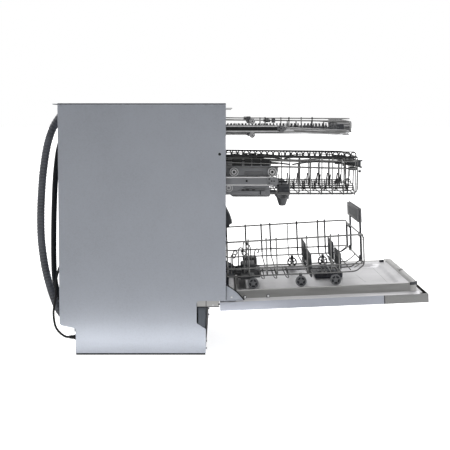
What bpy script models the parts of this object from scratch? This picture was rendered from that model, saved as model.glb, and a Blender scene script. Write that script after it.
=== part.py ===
"""Built-in dishwasher, 600 mm class, door open and all three racks drawn out.

Frame: metres, +Z up, the door side faces -Y, origin on the floor under the
centre of the cabinet. Dimensions below are in millimetres.
"""
import math

import bpy
import numpy as np
from mathutils import Matrix, Vector

# ---- driving dimensions (mm) ------------------------------------------------
HALF_W = 299.0          # half the cabinet's width
HALF_D = 269.5          # half the depth of the side panels
HEIGHT = 815.0
SHEET = 1.6             # side and top sheet
GAP = 0.3
TUB_X = 272.0           # inside half width of the tub
TUB_FRONT, TUB_BACK = -262.0, 213.0
TUB_FLOOR, TUB_TOP = 165.0, 795.0
TUB_T = 2.0
REAR_PANEL_Y = 221.0
HINGE_Y, HINGE_Z = -277.0, 165.0
TILT = math.radians(2.45)       # open door, above horizontal
TRACK_V = 38.0          # wheel track above the hinge line, in the door's frame
DOOR_END = 649.7        # free end of the door from the hinge line
DOOR_SEAM = 506.0       # joint of painted panel and control fascia
DOOR_OUT, DOOR_IN = -20.5, 7.3  # faces of the outer panel
WHEEL_R, WHEEL_W = 18.0, 11.0
WHEEL_U = (85.0, 243.0, 357.0)
ARM_Y = -25.0           # centre of the spray arms when the racks are home
LOWER_TRAVEL, UPPER_TRAVEL, TRAY_TRAVEL = 456.0, 454.0, 424.0

for ob in list(bpy.data.objects):
    bpy.data.objects.remove(ob, do_unlink=True)



def material(name, rgb, rough, metal):
    m = bpy.data.materials.new(name)
    m.use_nodes = True
    s = m.node_tree.nodes["Principled BSDF"]
    s.inputs["Base Color"].default_value = (*rgb, 1)
    s.inputs["Roughness"].default_value = rough
    s.inputs["Metallic"].default_value = metal
    return m


LOOK = {
    "galvanised": ((0.33, 0.34, 0.36), 0.5, 0.7),
    "paint": ((0.36, 0.39, 0.45), 0.45, 0.2),
    "stainless": ((0.55, 0.55, 0.54), 0.28, 1.0),
    "brushed": ((0.3, 0.3, 0.3), 0.4, 1.0),
    "wire": ((0.32, 0.32, 0.31), 0.4, 0.5),
    "chrome": ((0.7, 0.7, 0.7), 0.12, 1.0),
    "dark": ((0.07, 0.075, 0.085), 0.5, 0.0),
    "black": ((0.015, 0.015, 0.017), 0.55, 0.0),
    "grey": ((0.2, 0.21, 0.23), 0.5, 0.0),
    "rubber": ((0.02, 0.02, 0.024), 0.7, 0.0),
}


def empty(name, at, tilt=0.0):
    e = bpy.data.objects.new(name, None)
    e.location = Vector(at) * 0.001
    e.rotation_euler = (-tilt, 0, 0)
    bpy.context.collection.objects.link(e)
    return e


def add(name, mesh, look, parent=None, smooth=None):
    ob = bpy.data.objects.new(name, mesh)
    bpy.context.collection.objects.link(ob)
    if look not in LOOK:
        raise ValueError(look)
    mesh.materials.clear()
    mesh.materials.append(material(name, *LOOK[look]))
    if smooth:
        mesh.shade_smooth()
        mesh.set_sharp_from_angle(angle=math.radians(smooth))
    ob.parent = parent
    return ob


def mesh_of(name, points, faces):
    me = bpy.data.meshes.new(name)
    me.from_pydata([tuple(p) for p in points], [], faces)
    me.update()
    return me


def boxes(name, ops, shift=(0, 0, 0), move=None):
    """One solid from a list of boxes: +1 adds a box, -1 removes one, in order.

    The boxes' own coordinates make the grid; faces stand between filled and
    empty cells, and flat neighbours are merged. `move` shifts the points.
    """
    import bmesh

    axes = [sorted({c for _, b in ops for c in (b[2 * a], b[2 * a + 1])}) for a in range(3)]
    n = [len(a) - 1 for a in axes]
    solid = np.zeros(n, bool)
    mid = [np.array([(a[i] + a[i + 1]) / 2 for i in range(len(a) - 1)]) for a in axes]
    for sign, b in ops:
        pick = [(mid[a] > b[2 * a]) & (mid[a] < b[2 * a + 1]) for a in range(3)]
        solid[np.ix_(*pick)] = sign > 0
    pad = np.zeros([k + 2 for k in n], bool)
    pad[1:-1, 1:-1, 1:-1] = solid
    index, points, faces = {}, [], []

    def at(i, j, k):
        key = (i, j, k)
        if key not in index:
            index[key] = len(points)
            points.append((axes[0][i], axes[1][j], axes[2][k]))
        return index[key]

    for i, j, k in zip(*np.nonzero(solid)):
        i, j, k = int(i), int(j), int(k)
        p = lambda a, b, c: at(i + a, j + b, k + c)
        if not pad[i, j + 1, k + 1]:
            faces.append((p(0, 0, 0), p(0, 0, 1), p(0, 1, 1), p(0, 1, 0)))
        if not pad[i + 2, j + 1, k + 1]:
            faces.append((p(1, 0, 0), p(1, 1, 0), p(1, 1, 1), p(1, 0, 1)))
        if not pad[i + 1, j, k + 1]:
            faces.append((p(0, 0, 0), p(1, 0, 0), p(1, 0, 1), p(0, 0, 1)))
        if not pad[i + 1, j + 2, k + 1]:
            faces.append((p(0, 1, 0), p(0, 1, 1), p(1, 1, 1), p(1, 1, 0)))
        if not pad[i + 1, j + 1, k]:
            faces.append((p(0, 0, 0), p(0, 1, 0), p(1, 1, 0), p(1, 0, 0)))
        if not pad[i + 1, j + 1, k + 2]:
            faces.append((p(0, 0, 1), p(1, 0, 1), p(1, 1, 1), p(0, 1, 1)))
    if move:
        points = [move(*q) for q in points]
    points = [((q[0] + shift[0]) * 0.001, (q[1] + shift[1]) * 0.001, (q[2] + shift[2]) * 0.001) for q in points]
    me = mesh_of(name, points, faces)
    bm = bmesh.new()
    bm.from_mesh(me)
    bmesh.ops.dissolve_limit(bm, angle_limit=math.radians(0.02), verts=bm.verts, edges=bm.edges)
    bm.to_mesh(me)
    bm.free()
    return me


def extruded(name, outline, lo, hi, axis="X"):
    """A closed outline pushed between two planes. The outline runs in the other
    two axes: (Y, Z) for X, (X, Y) for Z, (X, Z) for Y."""
    area = sum(a[0] * b[1] - b[0] * a[1] for a, b in zip(outline, outline[1:] + outline[:1]))
    pts = outline if area > 0 else outline[::-1]
    put = {
        "X": lambda h, p: (h, p[0], p[1]),
        "Y": lambda h, p: (p[0], -h, p[1]),
        "Z": lambda h, p: (p[0], p[1], h),
    }[axis]
    if axis == "Y":
        lo, hi = -hi, -lo
    n = len(pts)
    points = [Vector(put(lo, p)) * 0.001 for p in pts] + [Vector(put(hi, p)) * 0.001 for p in pts]
    faces = [tuple(reversed(range(n))), tuple(range(n, 2 * n))]
    faces += [(i, (i + 1) % n, n + (i + 1) % n, n + i) for i in range(n)]
    return mesh_of(name, points, faces)


def turned(name, profile, at=(0, 0, 0), axis="Z", sides=16):
    """A solid turned about an axis from (radius, height) points, bottom to top;
    the first and last points are on the axis or close with flat discs."""
    rings = [p for p in profile if p[0] > 1e-6]
    turn = {
        "Z": Matrix.Identity(3),
        "X": Matrix(((0, 0, 1), (1, 0, 0), (0, 1, 0))),
        "Y": Matrix(((0, 1, 0), (0, 0, 1), (1, 0, 0))),
    }[axis]
    points = []
    for r, h in rings:
        for i in range(sides):
            a = 2 * math.pi * (i + 0.5) / sides
            v = turn @ Vector((r * math.cos(a), r * math.sin(a), h))
            points.append((v + Vector(at)) * 0.001)
    faces = [tuple(reversed(range(sides)))]
    for k in range(len(rings) - 1):
        for i in range(sides):
            j = (i + 1) % sides
            faces.append((k * sides + i, k * sides + j, (k + 1) * sides + j, (k + 1) * sides + i))
    faces.append(tuple(range((len(rings) - 1) * sides, len(rings) * sides)))
    return mesh_of(name, points, faces)


def smooth_route(points, spacing):
    """A Catmull-Rom curve through the route's points, read every `spacing` mm."""
    P = [Vector(p) for p in points]
    P = [P[0] * 2 - P[1]] + P + [P[-1] * 2 - P[-2]]
    fine = []
    for i in range(1, len(P) - 2):
        for k in range(40):
            t = k / 40
            a, b, c, d = P[i - 1], P[i], P[i + 1], P[i + 2]
            fine.append(0.5 * ((2 * b) + (c - a) * t + (2 * a - 5 * b + 4 * c - d) * t * t + (3 * b - a - 3 * c + d) * t ** 3))
    fine.append(P[-2])
    run = [0.0]
    for a, b in zip(fine, fine[1:]):
        run.append(run[-1] + (b - a).length)
    n = max(2, round(run[-1] / spacing))
    out, j = [], 0
    for i in range(n + 1):
        s = run[-1] * i / n
        while j < len(run) - 2 and run[j + 1] < s:
            j += 1
        f = (s - run[j]) / max(run[j + 1] - run[j], 1e-9)
        out.append(fine[j].lerp(fine[j + 1], min(1.0, f)))
    return out, run[-1]


def tube(name, points, diameter, spacing, look, sides=2):
    pts, length = smooth_route(points, spacing)
    cu = bpy.data.curves.new(name, "CURVE")
    cu.dimensions = "3D"
    sp = cu.splines.new("POLY")
    sp.points.add(len(pts) - 1)
    for q, p in zip(sp.points, pts):
        q.co = (*(p * 0.001), 1)
    cu.bevel_depth = diameter * 0.0005
    cu.bevel_resolution = sides
    cu.use_fill_caps = True
    cu.materials.append(material(name, *LOOK[look]))
    ob = bpy.data.objects.new(name, cu)
    bpy.context.collection.objects.link(ob)
    return ob


# ---- cabinet ----------------------------------------------------------------
F, R = -HALF_D, HALF_D
side_outline = [
    (F, 813.4), (F, 176.5), (-186, 176.5), (-178, 175), (-175, 169), (-175, 104), (-204.5, 85),
    (-204.5, 6), (217.5, 6), (217.5, 79), (219.5, 86), (225, 88.8), (263, 96.5), (R, 102), (R, 813.4),
]
add("side_panel_left", extruded("side_panel_left", side_outline, -HALF_W, -HALF_W + SHEET), "galvanised")
add("side_panel_right", extruded("side_panel_right", side_outline, HALF_W - SHEET, HALF_W), "galvanised")
add("top_panel", boxes("top_panel", [
    (1, (-HALF_W, HALF_W, F, R, 813.7, HEIGHT)),
    (1, (-290, 290, 262, 287, 811.4, 813.7)),
]), "galvanised")
add("rear_panel", boxes("rear_panel", [
    (1, (-295, 295, REAR_PANEL_Y, REAR_PANEL_Y + 1.6, 74, 811)),
    (1, (-295, 295, REAR_PANEL_Y - 4, REAR_PANEL_Y, 803, 811)),
]), "galvanised")
FOOT_X, FOOT_Y, FOOT_H = 250.0, -165.0, 17.0
base = [
    (1, (-296.5, 296.5, -203, 217, 0, 70)),
    (-1, (-292.5, 292.5, -199, 213, 4, 70)),
]
for x, y in ((-FOOT_X, FOOT_Y), (FOOT_X, FOOT_Y), (0, 165)):
    base += [(1, (x - 27, x + 27, y - 27, y + 27, 0, 40)), (-1, (x - FOOT_H - 1.5, x + FOOT_H + 1.5, y - FOOT_H - 1.5, y + FOOT_H + 1.5, 0, 40))]
add("base_tray", boxes("base_tray", base), "black")
for name, x, y in (("front_foot_left", -FOOT_X, FOOT_Y), ("front_foot_right", FOOT_X, FOOT_Y), ("rear_foot", 0, 165)):
    foot = [(15.5, 0.6), (15.5, 9), (6, 12), (6, 64)]
    add(name, turned(name, foot, sides=12), "dark", empty(name + "_axis", (x, y, 0)), 40)
add("plinth_panel", boxes("plinth_panel", [
    (1, (-296, 296, -202, -178, 88, 155)),
    (-1, (-292, 292, -199, -178, 92, 151)),
]), "dark")
add("worktop_strip", boxes("worktop_strip", [
    (1, (-280, 280, -290, -264, 798.5, 800)),
    (1, (-280, 280, -264, -262.4, 798.5, 811)),
    (-1, (-200, 200, -290, -266, 798.5, 800)),
]), "stainless")

# ---- tub --------------------------------------------------------------------
TRACK_MARK = 190.0


def track_height(y):
    """Top of the sloping wheel track: the door's track, carried on."""
    return HINGE_Z + TRACK_V / math.cos(TILT) - (y - HINGE_Y) * math.tan(TILT) - 0.4


def slope_tracks(x, y, z):
    if z == TRACK_MARK:
        return (x, y, track_height(y))
    if z == TRACK_MARK - 6:
        return (x, y, track_height(y) - 4)
    return (x, y, z)


X, T = TUB_X, TUB_T
tub = [
    (1, (-X - T, X + T, TUB_FRONT, TUB_BACK + T, TUB_FLOOR - T, TUB_TOP + T)),
    (1, (-296, 296, TUB_FRONT, TUB_FRONT + T, TUB_FLOOR - T, 812)),
    (-1, (-X, X, TUB_FRONT, TUB_BACK, TUB_FLOOR, TUB_TOP)),
    # wheel tracks along both walls
    (1, (-X, -226, TUB_FRONT, TUB_BACK, TRACK_MARK - 6, TRACK_MARK)),
    (1, (-230, -226, TUB_FRONT, TUB_BACK, TUB_FLOOR, TRACK_MARK - 6)),
    (1, (226, X, TUB_FRONT, TUB_BACK, TRACK_MARK - 6, TRACK_MARK)),
    (1, (226, 230, TUB_FRONT, TUB_BACK, TUB_FLOOR, TRACK_MARK - 6)),
    # sill over the back end of the open door
    (-1, (-296, 296, TUB_FRONT, -244, TUB_FLOOR - T, 178)),
    (1, (-X - T, X + T, -246, -244, TUB_FLOOR - T, 178)),
    (1, (-X - T, X + T, TUB_FRONT, -244, 176, 178)),
    # openings in the floor: spray tower, filter
    (-1, (-24, 24, ARM_Y - 24, ARM_Y + 24, TUB_FLOOR - T, TUB_FLOOR)),
    (-1, (58, 162, ARM_Y - 52, ARM_Y + 52, TUB_FLOOR - T, TUB_FLOOR)),
]
add("tub", boxes("tub", tub, move=slope_tracks), "stainless")
add("door_seal", boxes("door_seal", [
    (1, (-284, 284, -268, TUB_FRONT - GAP, 232, 797.8)),
    (-1, (-274, 274, -268, TUB_FRONT - GAP, 232, 788)),
]), "rubber")
add("sump", boxes("sump", [
    (1, (-60, 172, ARM_Y - 62, ARM_Y + 62, 95, TUB_FLOOR - T - GAP)),
    (-1, (58.5, 161.5, ARM_Y - 51.5, ARM_Y + 51.5, 112, TUB_FLOOR - T - GAP)),
    (1, (-20, 20, ARM_Y - 20, ARM_Y + 20, TUB_FLOOR - T - GAP, 188)),
    (-1, (-12, 12, ARM_Y - 12, ARM_Y + 12, 112, 188)),
]), "dark")
add("filter", turned("filter", [(48, -52), (48, 4), (30, 6), (30, 12), (12, 14), (12, 19)], sides=20), "grey",
    empty("filter_axis", (110, ARM_Y, TUB_FLOOR)), 40)
add("circulation_pump", turned("circulation_pump", [(28, -75), (36, -70), (36, 30), (43, 32), (43, 60), (20, 62), (20, 78)], at=(-20, 88, 52), axis="X", sides=18), "dark", None, 40)
add("drain_pump", turned("drain_pump", [(24, -45), (24, 10), (34, 12), (34, 40)], at=(210, 90, 52), axis="X", sides=16), "black", None, 40)
add("water_softener", boxes("water_softener", [
    (1, (-288, -90, -90, 90, 74, 158)),
    (-1, (-150, -90, 30, 90, 74, 158)),
]), "grey")
add("salt_cap", turned("salt_cap", [(40, 0.3), (40, 8), (36, 12), (14, 13), (14, 19)], sides=20), "dark",
    empty("salt_cap_axis", (-150, ARM_Y, TUB_FLOOR)), 40)
add("supply_pipe", boxes("supply_pipe", [
    (1, (-12, 12, 207, TUB_BACK - GAP, TUB_FLOOR + GAP, TUB_TOP - GAP)),
    (1, (-12, 12, ARM_Y - 20, TUB_BACK - GAP, 789, TUB_TOP - GAP)),
    (1, (-18, 18, 206, TUB_BACK - GAP, 488, 512)),
]), "grey")


def spray_arm(name, reach, width, low, high, hub_low, hub_high, at, parent, hub_r=20, foot_r=None):
    """A flat spray arm: a long blade with rounded ends, waisted at its tips,
    with a hub turned at its middle."""
    prof = []
    for i in range(9):
        a = -math.pi / 2 + math.pi * i / 8
        prof.append((reach - width * 0.36 + width * 0.36 * math.cos(a), width * 0.36 * math.sin(a)))
    prof += [(30, width * 0.5), (-30, width * 0.5)]
    prof += [(-x, y) for x, y in reversed(prof[:9])]
    prof += [(-30, -width * 0.5), (30, -width * 0.5)]
    me = extruded(name, prof, low, high, "Z")
    blade = bpy.data.objects.new(name + "_blade", me)
    bpy.context.collection.objects.link(blade)
    hub = add(name + "_hub", turned(name + "_hub", [(foot_r or hub_r, hub_low), (hub_r, low if foot_r else hub_low + 1), (hub_r, hub_high)], sides=16), "grey")
    hub.hide_render, hub.display_type = True, "WIRE"
    mod = blade.modifiers.new("union", "BOOLEAN")
    mod.operation, mod.solver, mod.object = "UNION", "EXACT", hub
    dg = bpy.context.evaluated_depsgraph_get()
    done = bpy.data.meshes.new_from_object(blade.evaluated_get(dg))
    bpy.data.objects.remove(blade, do_unlink=True)
    bpy.data.objects.remove(hub, do_unlink=True)
    done.name = name
    return add(name, done, "grey", parent, 35)


spray_arm("lower_spray_arm", 212, 52, 6, 16, 1, 20, None, empty("lower_arm_axis", (0, ARM_Y, 187.3)))
spray_arm("ceiling_spray_arm", 120, 40, -9, -3, -12, -0.4, None, empty("ceiling_arm_axis", (0, ARM_Y, 789)))

# ---- hoses and mains lead at the back --------------------------------------
DRAIN_D, INLET_D, LEAD_D = 24.0, 17.0, 7.0
DRAIN = [
    (-215, 223.6, 106), (-215, 240, 106.3), (-215, 258, 109), (-215, 275, 120), (-215, 290, 144), (-215, 304, 180), (-215, 318, 228),
    (-215, 331, 290), (-215, 340, 370), (-215, 341, 450), (-215, 337, 530), (-215, 330, 602), (-213, 317, 680),
    (-204, 299, 736), (-178, 276, 777), (-125, 258, 797), (-72, 257, 780), (-38, 257, 738), (-24, 257, 675),
    (-22, 257, 560), (-22, 257, 450), (-22, 257, 340),
]
INLET = [
    (-150, 223.4, 112), (-150, 240, 112.3), (-150, 258, 116), (-150, 274, 128), (-150, 288, 150), (-150, 300, 186), (-150, 308, 235),
    (-150, 310, 300), (-150, 309, 400), (-150, 306, 490), (-149, 301, 580), (-146, 291, 660), (-136, 275, 712),
    (-116, 254, 744), (-90, 238, 752), (-65, 233, 738), (-51, 233, 705), (-48, 233, 640), (-48, 233, 560),
    (-48, 233, 460), (-48, 233, 350), (-48, 233, 240),
]
LEAD = [
    (-270, 243.9, 53), (-270, 251, 53.4), (-270, 259, 56.5), (-270, 273, 67), (-270, 286, 85), (-270, 292, 111), (-270, 293, 140),
    (-270, 288, 170), (-270, 285, 200), (-270, 284, 238), (-271, 275, 275), (-272, 258, 320), (-272, 246, 380),
    (-272, 242, 470), (-272, 242, 560), (-268, 242, 600), (-254, 242, 626), (-236, 242, 635), (-218, 242, 626),
    (-204, 242, 600), (-200, 242, 560), (-200, 242, 460), (-200, 242, 350), (-200, 242, 240), (-196, 242, 204),
    (-183, 242, 180), (-166, 242, 172), (-148, 242, 180), (-136, 242, 204), (-132, 242, 240), (-132, 242, 350),
    (-132, 242, 460), (-132, 242, 590),
]
tube("drain_hose", DRAIN, DRAIN_D, 29, "dark")
tube("inlet_hose", INLET, INLET_D, 26, "rubber")
tube("mains_lead", LEAD, LEAD_D, 21.5, "black", 1)
add("inlet_valve", boxes("inlet_valve", [
    (1, (-68, -28, REAR_PANEL_Y + 2, 264, 160, 239.6)),
    (1, (-60, -36, REAR_PANEL_Y + 2, 250, 128, 160)),
]), "grey")
add("mains_gland", turned("mains_gland", [(11, 217.4), (11, 223), (7.5, 225), (5.5, 242.6)], at=(-270, 0, 53), axis="Y", sides=12), "black", None, 40)
add("mains_plug", turned("mains_plug", [(6.5, 590.4), (9, 604), (18, 610), (18.5, 640), (17, 644)], at=(-132, 242, 0), axis="Z", sides=16), "black", None, 40)

# ---- door -------------------------------------------------------------------
DOOR = empty("door_axis", (0, HINGE_Y, HINGE_Z), TILT)


def in_door(ops):
    """Boxes given as (x0, x1, u0, u1, v0, v1): u out along the door from the
    hinge line, v towards its inner side."""
    return [(s, (b[0], b[1], -b[3], -b[2], b[4], b[5])) for s, b in ops]


W2 = 298.0
add("door_outer_panel", boxes("door_outer_panel", in_door([
    (1, (-W2, W2, -27, DOOR_SEAM - 0.5, DOOR_OUT, DOOR_IN)),
    (-1, (-W2 + 1.6, W2 - 1.6, -25.4, DOOR_SEAM - 0.5, DOOR_OUT + 1.6, DOOR_IN)),
])), "paint", DOOR)
BUTTONS = {"power_button": -220.0, "start_button": 220.0}
BUTTON_U, BUTTON_R = 590.0, 9.0
fascia = [
    (1, (-W2, W2, DOOR_SEAM + 1.5, DOOR_END, DOOR_OUT, DOOR_IN)),
    (-1, (-W2 + 2, W2 - 2, DOOR_SEAM + 1.5, DOOR_END - 2, DOOR_OUT + 2, DOOR_IN)),
]
for x in BUTTONS.values():
    fascia += [(-1, (x - BUTTON_R, x + BUTTON_R, BUTTON_U - BUTTON_R, BUTTON_U + BUTTON_R, DOOR_OUT, DOOR_OUT + 2))]
add("control_fascia", boxes("control_fascia", in_door(fascia)), "brushed", DOOR)
for name, x in BUTTONS.items():
    b = BUTTON_R - 0.6
    axis = empty(name + "_axis", (0, 0, 0))
    axis.parent = DOOR
    axis.location = Vector((x, -BUTTON_U, DOOR_OUT)) * 0.001
    add(name, boxes(name, [(1, (-b, b, -b, b, -1.5, 10))]), "chrome", axis)

IN_X = 283.0
add("door_inner_panel", boxes("door_inner_panel", in_door([
    (1, (-287.5, 287.5, 4, 634, 7.8, 9.8)),
    (1, (-IN_X, IN_X, 24, 618, 9.8, 43)),
    (1, (-IN_X, IN_X, 592, 618, 9.8, 48)),
    # rim, then the wheel track, then the polished field, all thin sheet
    (-1, (-270, 270, 20, 618 - 18, TRACK_V - 0.4, 48)),
    (-1, (-222, 222, 70, 560, 26, 48)),
    (-1, (-IN_X + 2, IN_X - 2, 26, 616, 7.8, 24)),
    (-1, (-IN_X + 2, -224, 26, 616, 24, 35.6)),
    (-1, (224, IN_X - 2, 26, 616, 24, 35.6)),
    (-1, (-224, 224, 562, 616, 24, 35.6)),
    (-1, (-224, 224, 26, 68, 24, 35.6)),
    # seat of the dispenser
    (-1, (3, 193, 312, 402, 24, 26)),
])), "stainless", DOOR)
add("detergent_dispenser", boxes("detergent_dispenser", in_door([
    (1, (4, 192, 313, 401, 14, 26.3)),
    (1, (0, 196, 309, 405, 26.3, 46)),
    (-1, (10, 118, 320, 394, 22, 46)),
    (-1, (140, 180, 338, 378, 36, 46)),
])), "dark", DOOR)
LID = empty("lid_axis", (0, 0, 0))
LID.parent = DOOR
LID.location = Vector((0, -320, 49)) * 0.001
add("dispenser_lid", boxes("dispenser_lid", [
    (1, (6, 122, -78, 2, -2.7, 1)),
    (1, (48, 80, -78, -66, 1, 5)),
]), "grey", LID)
CAP = empty("cap_axis", (0, 0, 0))
CAP.parent = DOOR
CAP.location = Vector((160, -358, 36)) * 0.001
add("rinse_aid_cap", turned("rinse_aid_cap", [(18, 0.4), (18, 11), (16, 13)], sides=18), "grey", CAP, 40)
arm = [(-11.0, 8.4)] + [(54.0, 8.4)]
for i in range(7):
    a = math.radians(12 + 74 * i / 6)
    arm.append((-6 + 60 * math.cos(a), 8 + 58 * math.sin(a)))
arm.append((-8.0, 66.0))
arm = [(-u, v) for u, v in arm]
add("hinge_arm_left", extruded("hinge_arm_left", arm, -291, -288.4), "galvanised", DOOR)
add("hinge_arm_right", extruded("hinge_arm_right", arm, 288.4, 291), "galvanised", DOOR)
add("door_latch", boxes("door_latch", in_door([
    (1, (-22, 22, 598, 617, 48.3, 54)),
    (-1, (-12, 12, 604, 617, 50, 54)),
])), "dark", DOOR)

# ---- lower basket -----------------------------------------------------------
LOWER = empty("lower_basket_axis", (0, HINGE_Y, HINGE_Z), TILT)


def lattice(ops, axis, level, a, b, na, nb, bar):
    """Cuts na x nb windows out of a wall; `level` is the wall's thickness span,
    a and b its extents in the other two axes, bars are left between."""
    def windows(lo, hi, n):
        step = (hi - lo - bar) / n
        return [(lo + bar + i * step, lo + (i + 1) * step) for i in range(n)]
    for a0, a1 in windows(*a, na):
        for b0, b1 in windows(*b, nb):
            box = {"X": (*level, a0, a1, b0, b1), "Y": (a0, a1, *level, b0, b1), "Z": (a0, a1, b0, b1, *level)}[axis]
            ops.append((-1, box))
    return ops


def basket(x, front, back, floor, rim, t, nx, ny, nz, bar, step=None):
    """An open-topped wire basket as one lattice of bars."""
    ops = [(1, (-x, x, front, back, floor, rim)), (-1, (-x + t, x - t, front + t, back - t, floor + t, rim))]
    lattice(ops, "Z", (floor, floor + t), (-x + t, x - t), (front + t, back - t), nx, ny, bar)
    for s in (-1, 1):
        w = (-x, -x + t) if s < 0 else (x - t, x)
        lattice(ops, "X", w, (front + t, back - t), (floor + t, rim), ny, nz, bar)
    for w in ((front, front + t), (back - t, back)):
        lattice(ops, "Y", w, (-x + t, x - t), (floor + t, rim), nx, nz, bar)
    return ops


BAR = 4.0
add("lower_basket", boxes("lower_basket", basket(248, -451, 17, 79, 203, BAR, 5, 5, 2, BAR)), "wire", LOWER)
add("lower_handle", boxes("lower_handle", [
    (1, (-160, 160, -459, -447, 232, 281)),
    (1, (-150, -138, -458, -451.4, 120, 232)),
    (1, (138, 150, -458, -451.4, 120, 232)),
    (-1, (-118, 118, -452, -447, 242, 270)),
]), "grey", LOWER)
for side, x in (("left", -1), ("right", 1)):
    for n, u in enumerate(WHEEL_U):
        name = f"wheel_{side}_{n + 1}"
        hub = empty(name + "_axis", (0, 0, 0))
        hub.parent = LOWER
        hub.location = Vector((x * 234, -u, TRACK_V + WHEEL_R)) * 0.001
        w = WHEEL_W / 2
        add(name, turned(name, [(WHEEL_R - 1, -w), (WHEEL_R, -w + 1), (WHEEL_R, w - 1), (WHEEL_R - 1, w)], axis="X", sides=16), "dark", hub, 40)
for name, u in (("tine_row_front", 378.0), ("tine_row_rear", 280.0)):
    ax = empty(name + "_axis", (0, 0, 0))
    ax.parent = LOWER
    ax.location = Vector((0, -u, 87.6)) * 0.001
    ops = [(1, (-205, 205, -3, 3, -3, 52))]
    for a in range(7):
        x0 = -205 + 22 + a * 56
        ops.append((-1, (x0, x0 + 30, -3, 3, 14, 52)))
    add(name, boxes(name, ops), "dark", ax)

# ---- upper basket -----------------------------------------------------------
add("upper_basket", boxes("upper_basket", basket(247, -702, -252, 518, 660, BAR, 5, 5, 2, BAR)), "wire")
add("upper_grip", boxes("upper_grip", [
    (1, (-238, 238, -712, -702.4, 605, 629)),
    (-1, (-200, 200, -712, -707, 610, 624)),
]), "dark")
for side, s in (("left", -1), ("right", 1)):
    def span(a, b):
        return (min(s * a, s * b), max(s * a, s * b))
    add(f"upper_carrier_{side}", boxes(f"upper_carrier_{side}", [
        (1, (*span(247.4, 255), -436, -262, 579, 609)),
        (-1, (*span(251, 255), -392, -330, 584, 598)),
        (1, (*span(247.4, 257), -300, -262, 528, 579)),
    ]), "dark")
    add(f"upper_rail_{side}", boxes(f"upper_rail_{side}", [
        (1, (*span(257.5, 268), -424, -44, 549, 578)),
        (-1, (*span(257.5, 266), -424, -44, 552, 575)),
        (1, (*span(257.5, 268), -424, -418, 549, 578)),
    ]), "chrome")
    add(f"tray_rail_{side}", boxes(f"tray_rail_{side}", [
        (1, (*span(257.5, 268), -449, -49, 722.5, 743.5)),
        (-1, (*span(257.5, 266), -449, -49, 725.5, 740.5)),
        (1, (*span(257.5, 268), -449, -438, 722.5, 743.5)),
    ]), "chrome")
ARM_OUT = -467.0
add("upper_feed_pipe", boxes("upper_feed_pipe", [
    (1, (-15, 15, ARM_OUT - 14, -248, 507, 517)),
    (1, (-19, 19, ARM_OUT - 19, ARM_OUT + 19, 506.6, 517.6)),
]), "dark")
spray_arm("middle_spray_arm", 180, 40, -9.3, -1.3, -44, -0.4, None, empty("middle_arm_axis", (0, ARM_OUT, 506.3)), 26, 11)

# ---- cutlery tray -----------------------------------------------------------
tray = [(1, (-247, 247, -682, -228, 716, 770)), (-1, (-244, 244, -679, -231, 719, 770))]
lattice(tray, "Z", (716, 719), (-244, 244), (-679, -231), 5, 5, 8)
for w in ((-247, -244), (244, 247)):
    lattice(tray, "X", w, (-679, -231), (719, 770), 6, 1, 4)
for w in ((-682, -679), (-231, -228)):
    lattice(tray, "Y", w, (-244, 244), (719, 770), 5, 1, 4)
add("cutlery_tray", boxes("cutlery_tray", tray), "wire")
add("tray_grip", boxes("tray_grip", [
    (1, (-150, 150, -691, -682.4, 718, 768)),
    (-1, (-120, 120, -691, -686, 726, 756)),
]), "grey")
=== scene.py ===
"""Looks of the built-in dishwasher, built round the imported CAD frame. Lengths in mm."""
import math
import random

import bmesh
import bpy
import numpy as np
from mathutils import Matrix, Vector


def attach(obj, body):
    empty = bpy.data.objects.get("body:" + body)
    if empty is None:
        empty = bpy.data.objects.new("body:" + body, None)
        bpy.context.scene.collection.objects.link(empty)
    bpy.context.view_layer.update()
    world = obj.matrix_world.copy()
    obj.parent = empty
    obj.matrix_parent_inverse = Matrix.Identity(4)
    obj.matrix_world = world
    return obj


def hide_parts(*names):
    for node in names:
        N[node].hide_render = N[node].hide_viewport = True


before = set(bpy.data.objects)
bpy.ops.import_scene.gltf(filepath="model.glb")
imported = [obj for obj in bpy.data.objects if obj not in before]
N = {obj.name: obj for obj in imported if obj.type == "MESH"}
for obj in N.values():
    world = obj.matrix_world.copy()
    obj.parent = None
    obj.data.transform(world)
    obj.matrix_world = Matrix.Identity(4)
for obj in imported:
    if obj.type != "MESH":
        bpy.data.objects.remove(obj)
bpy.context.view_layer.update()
MM = 0.001
random.seed(7)

# ---- the CAD's own measures that the pieces need -----------------------------
HINGE_Y, HINGE_Z, TILT = -277.0, 165.0, math.radians(2.45)
S, C = math.sin(TILT), math.cos(TILT)
HALF_W, F, R = 299.0, -269.5, 269.5
DOOR_SEAM, DOOR_END = 506.0, 649.7
DOOR_OUT, DOOR_IN = -20.5, 7.3
ARM_Y = -25.0
ARM_OUT = ARM_Y - 454.0


def door(x, u, v):
    """A point of the door's or lower basket's own frame in the row frame, mm."""
    return Vector((x, HINGE_Y - u * C + v * S, HINGE_Z + u * S + v * C))


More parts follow.
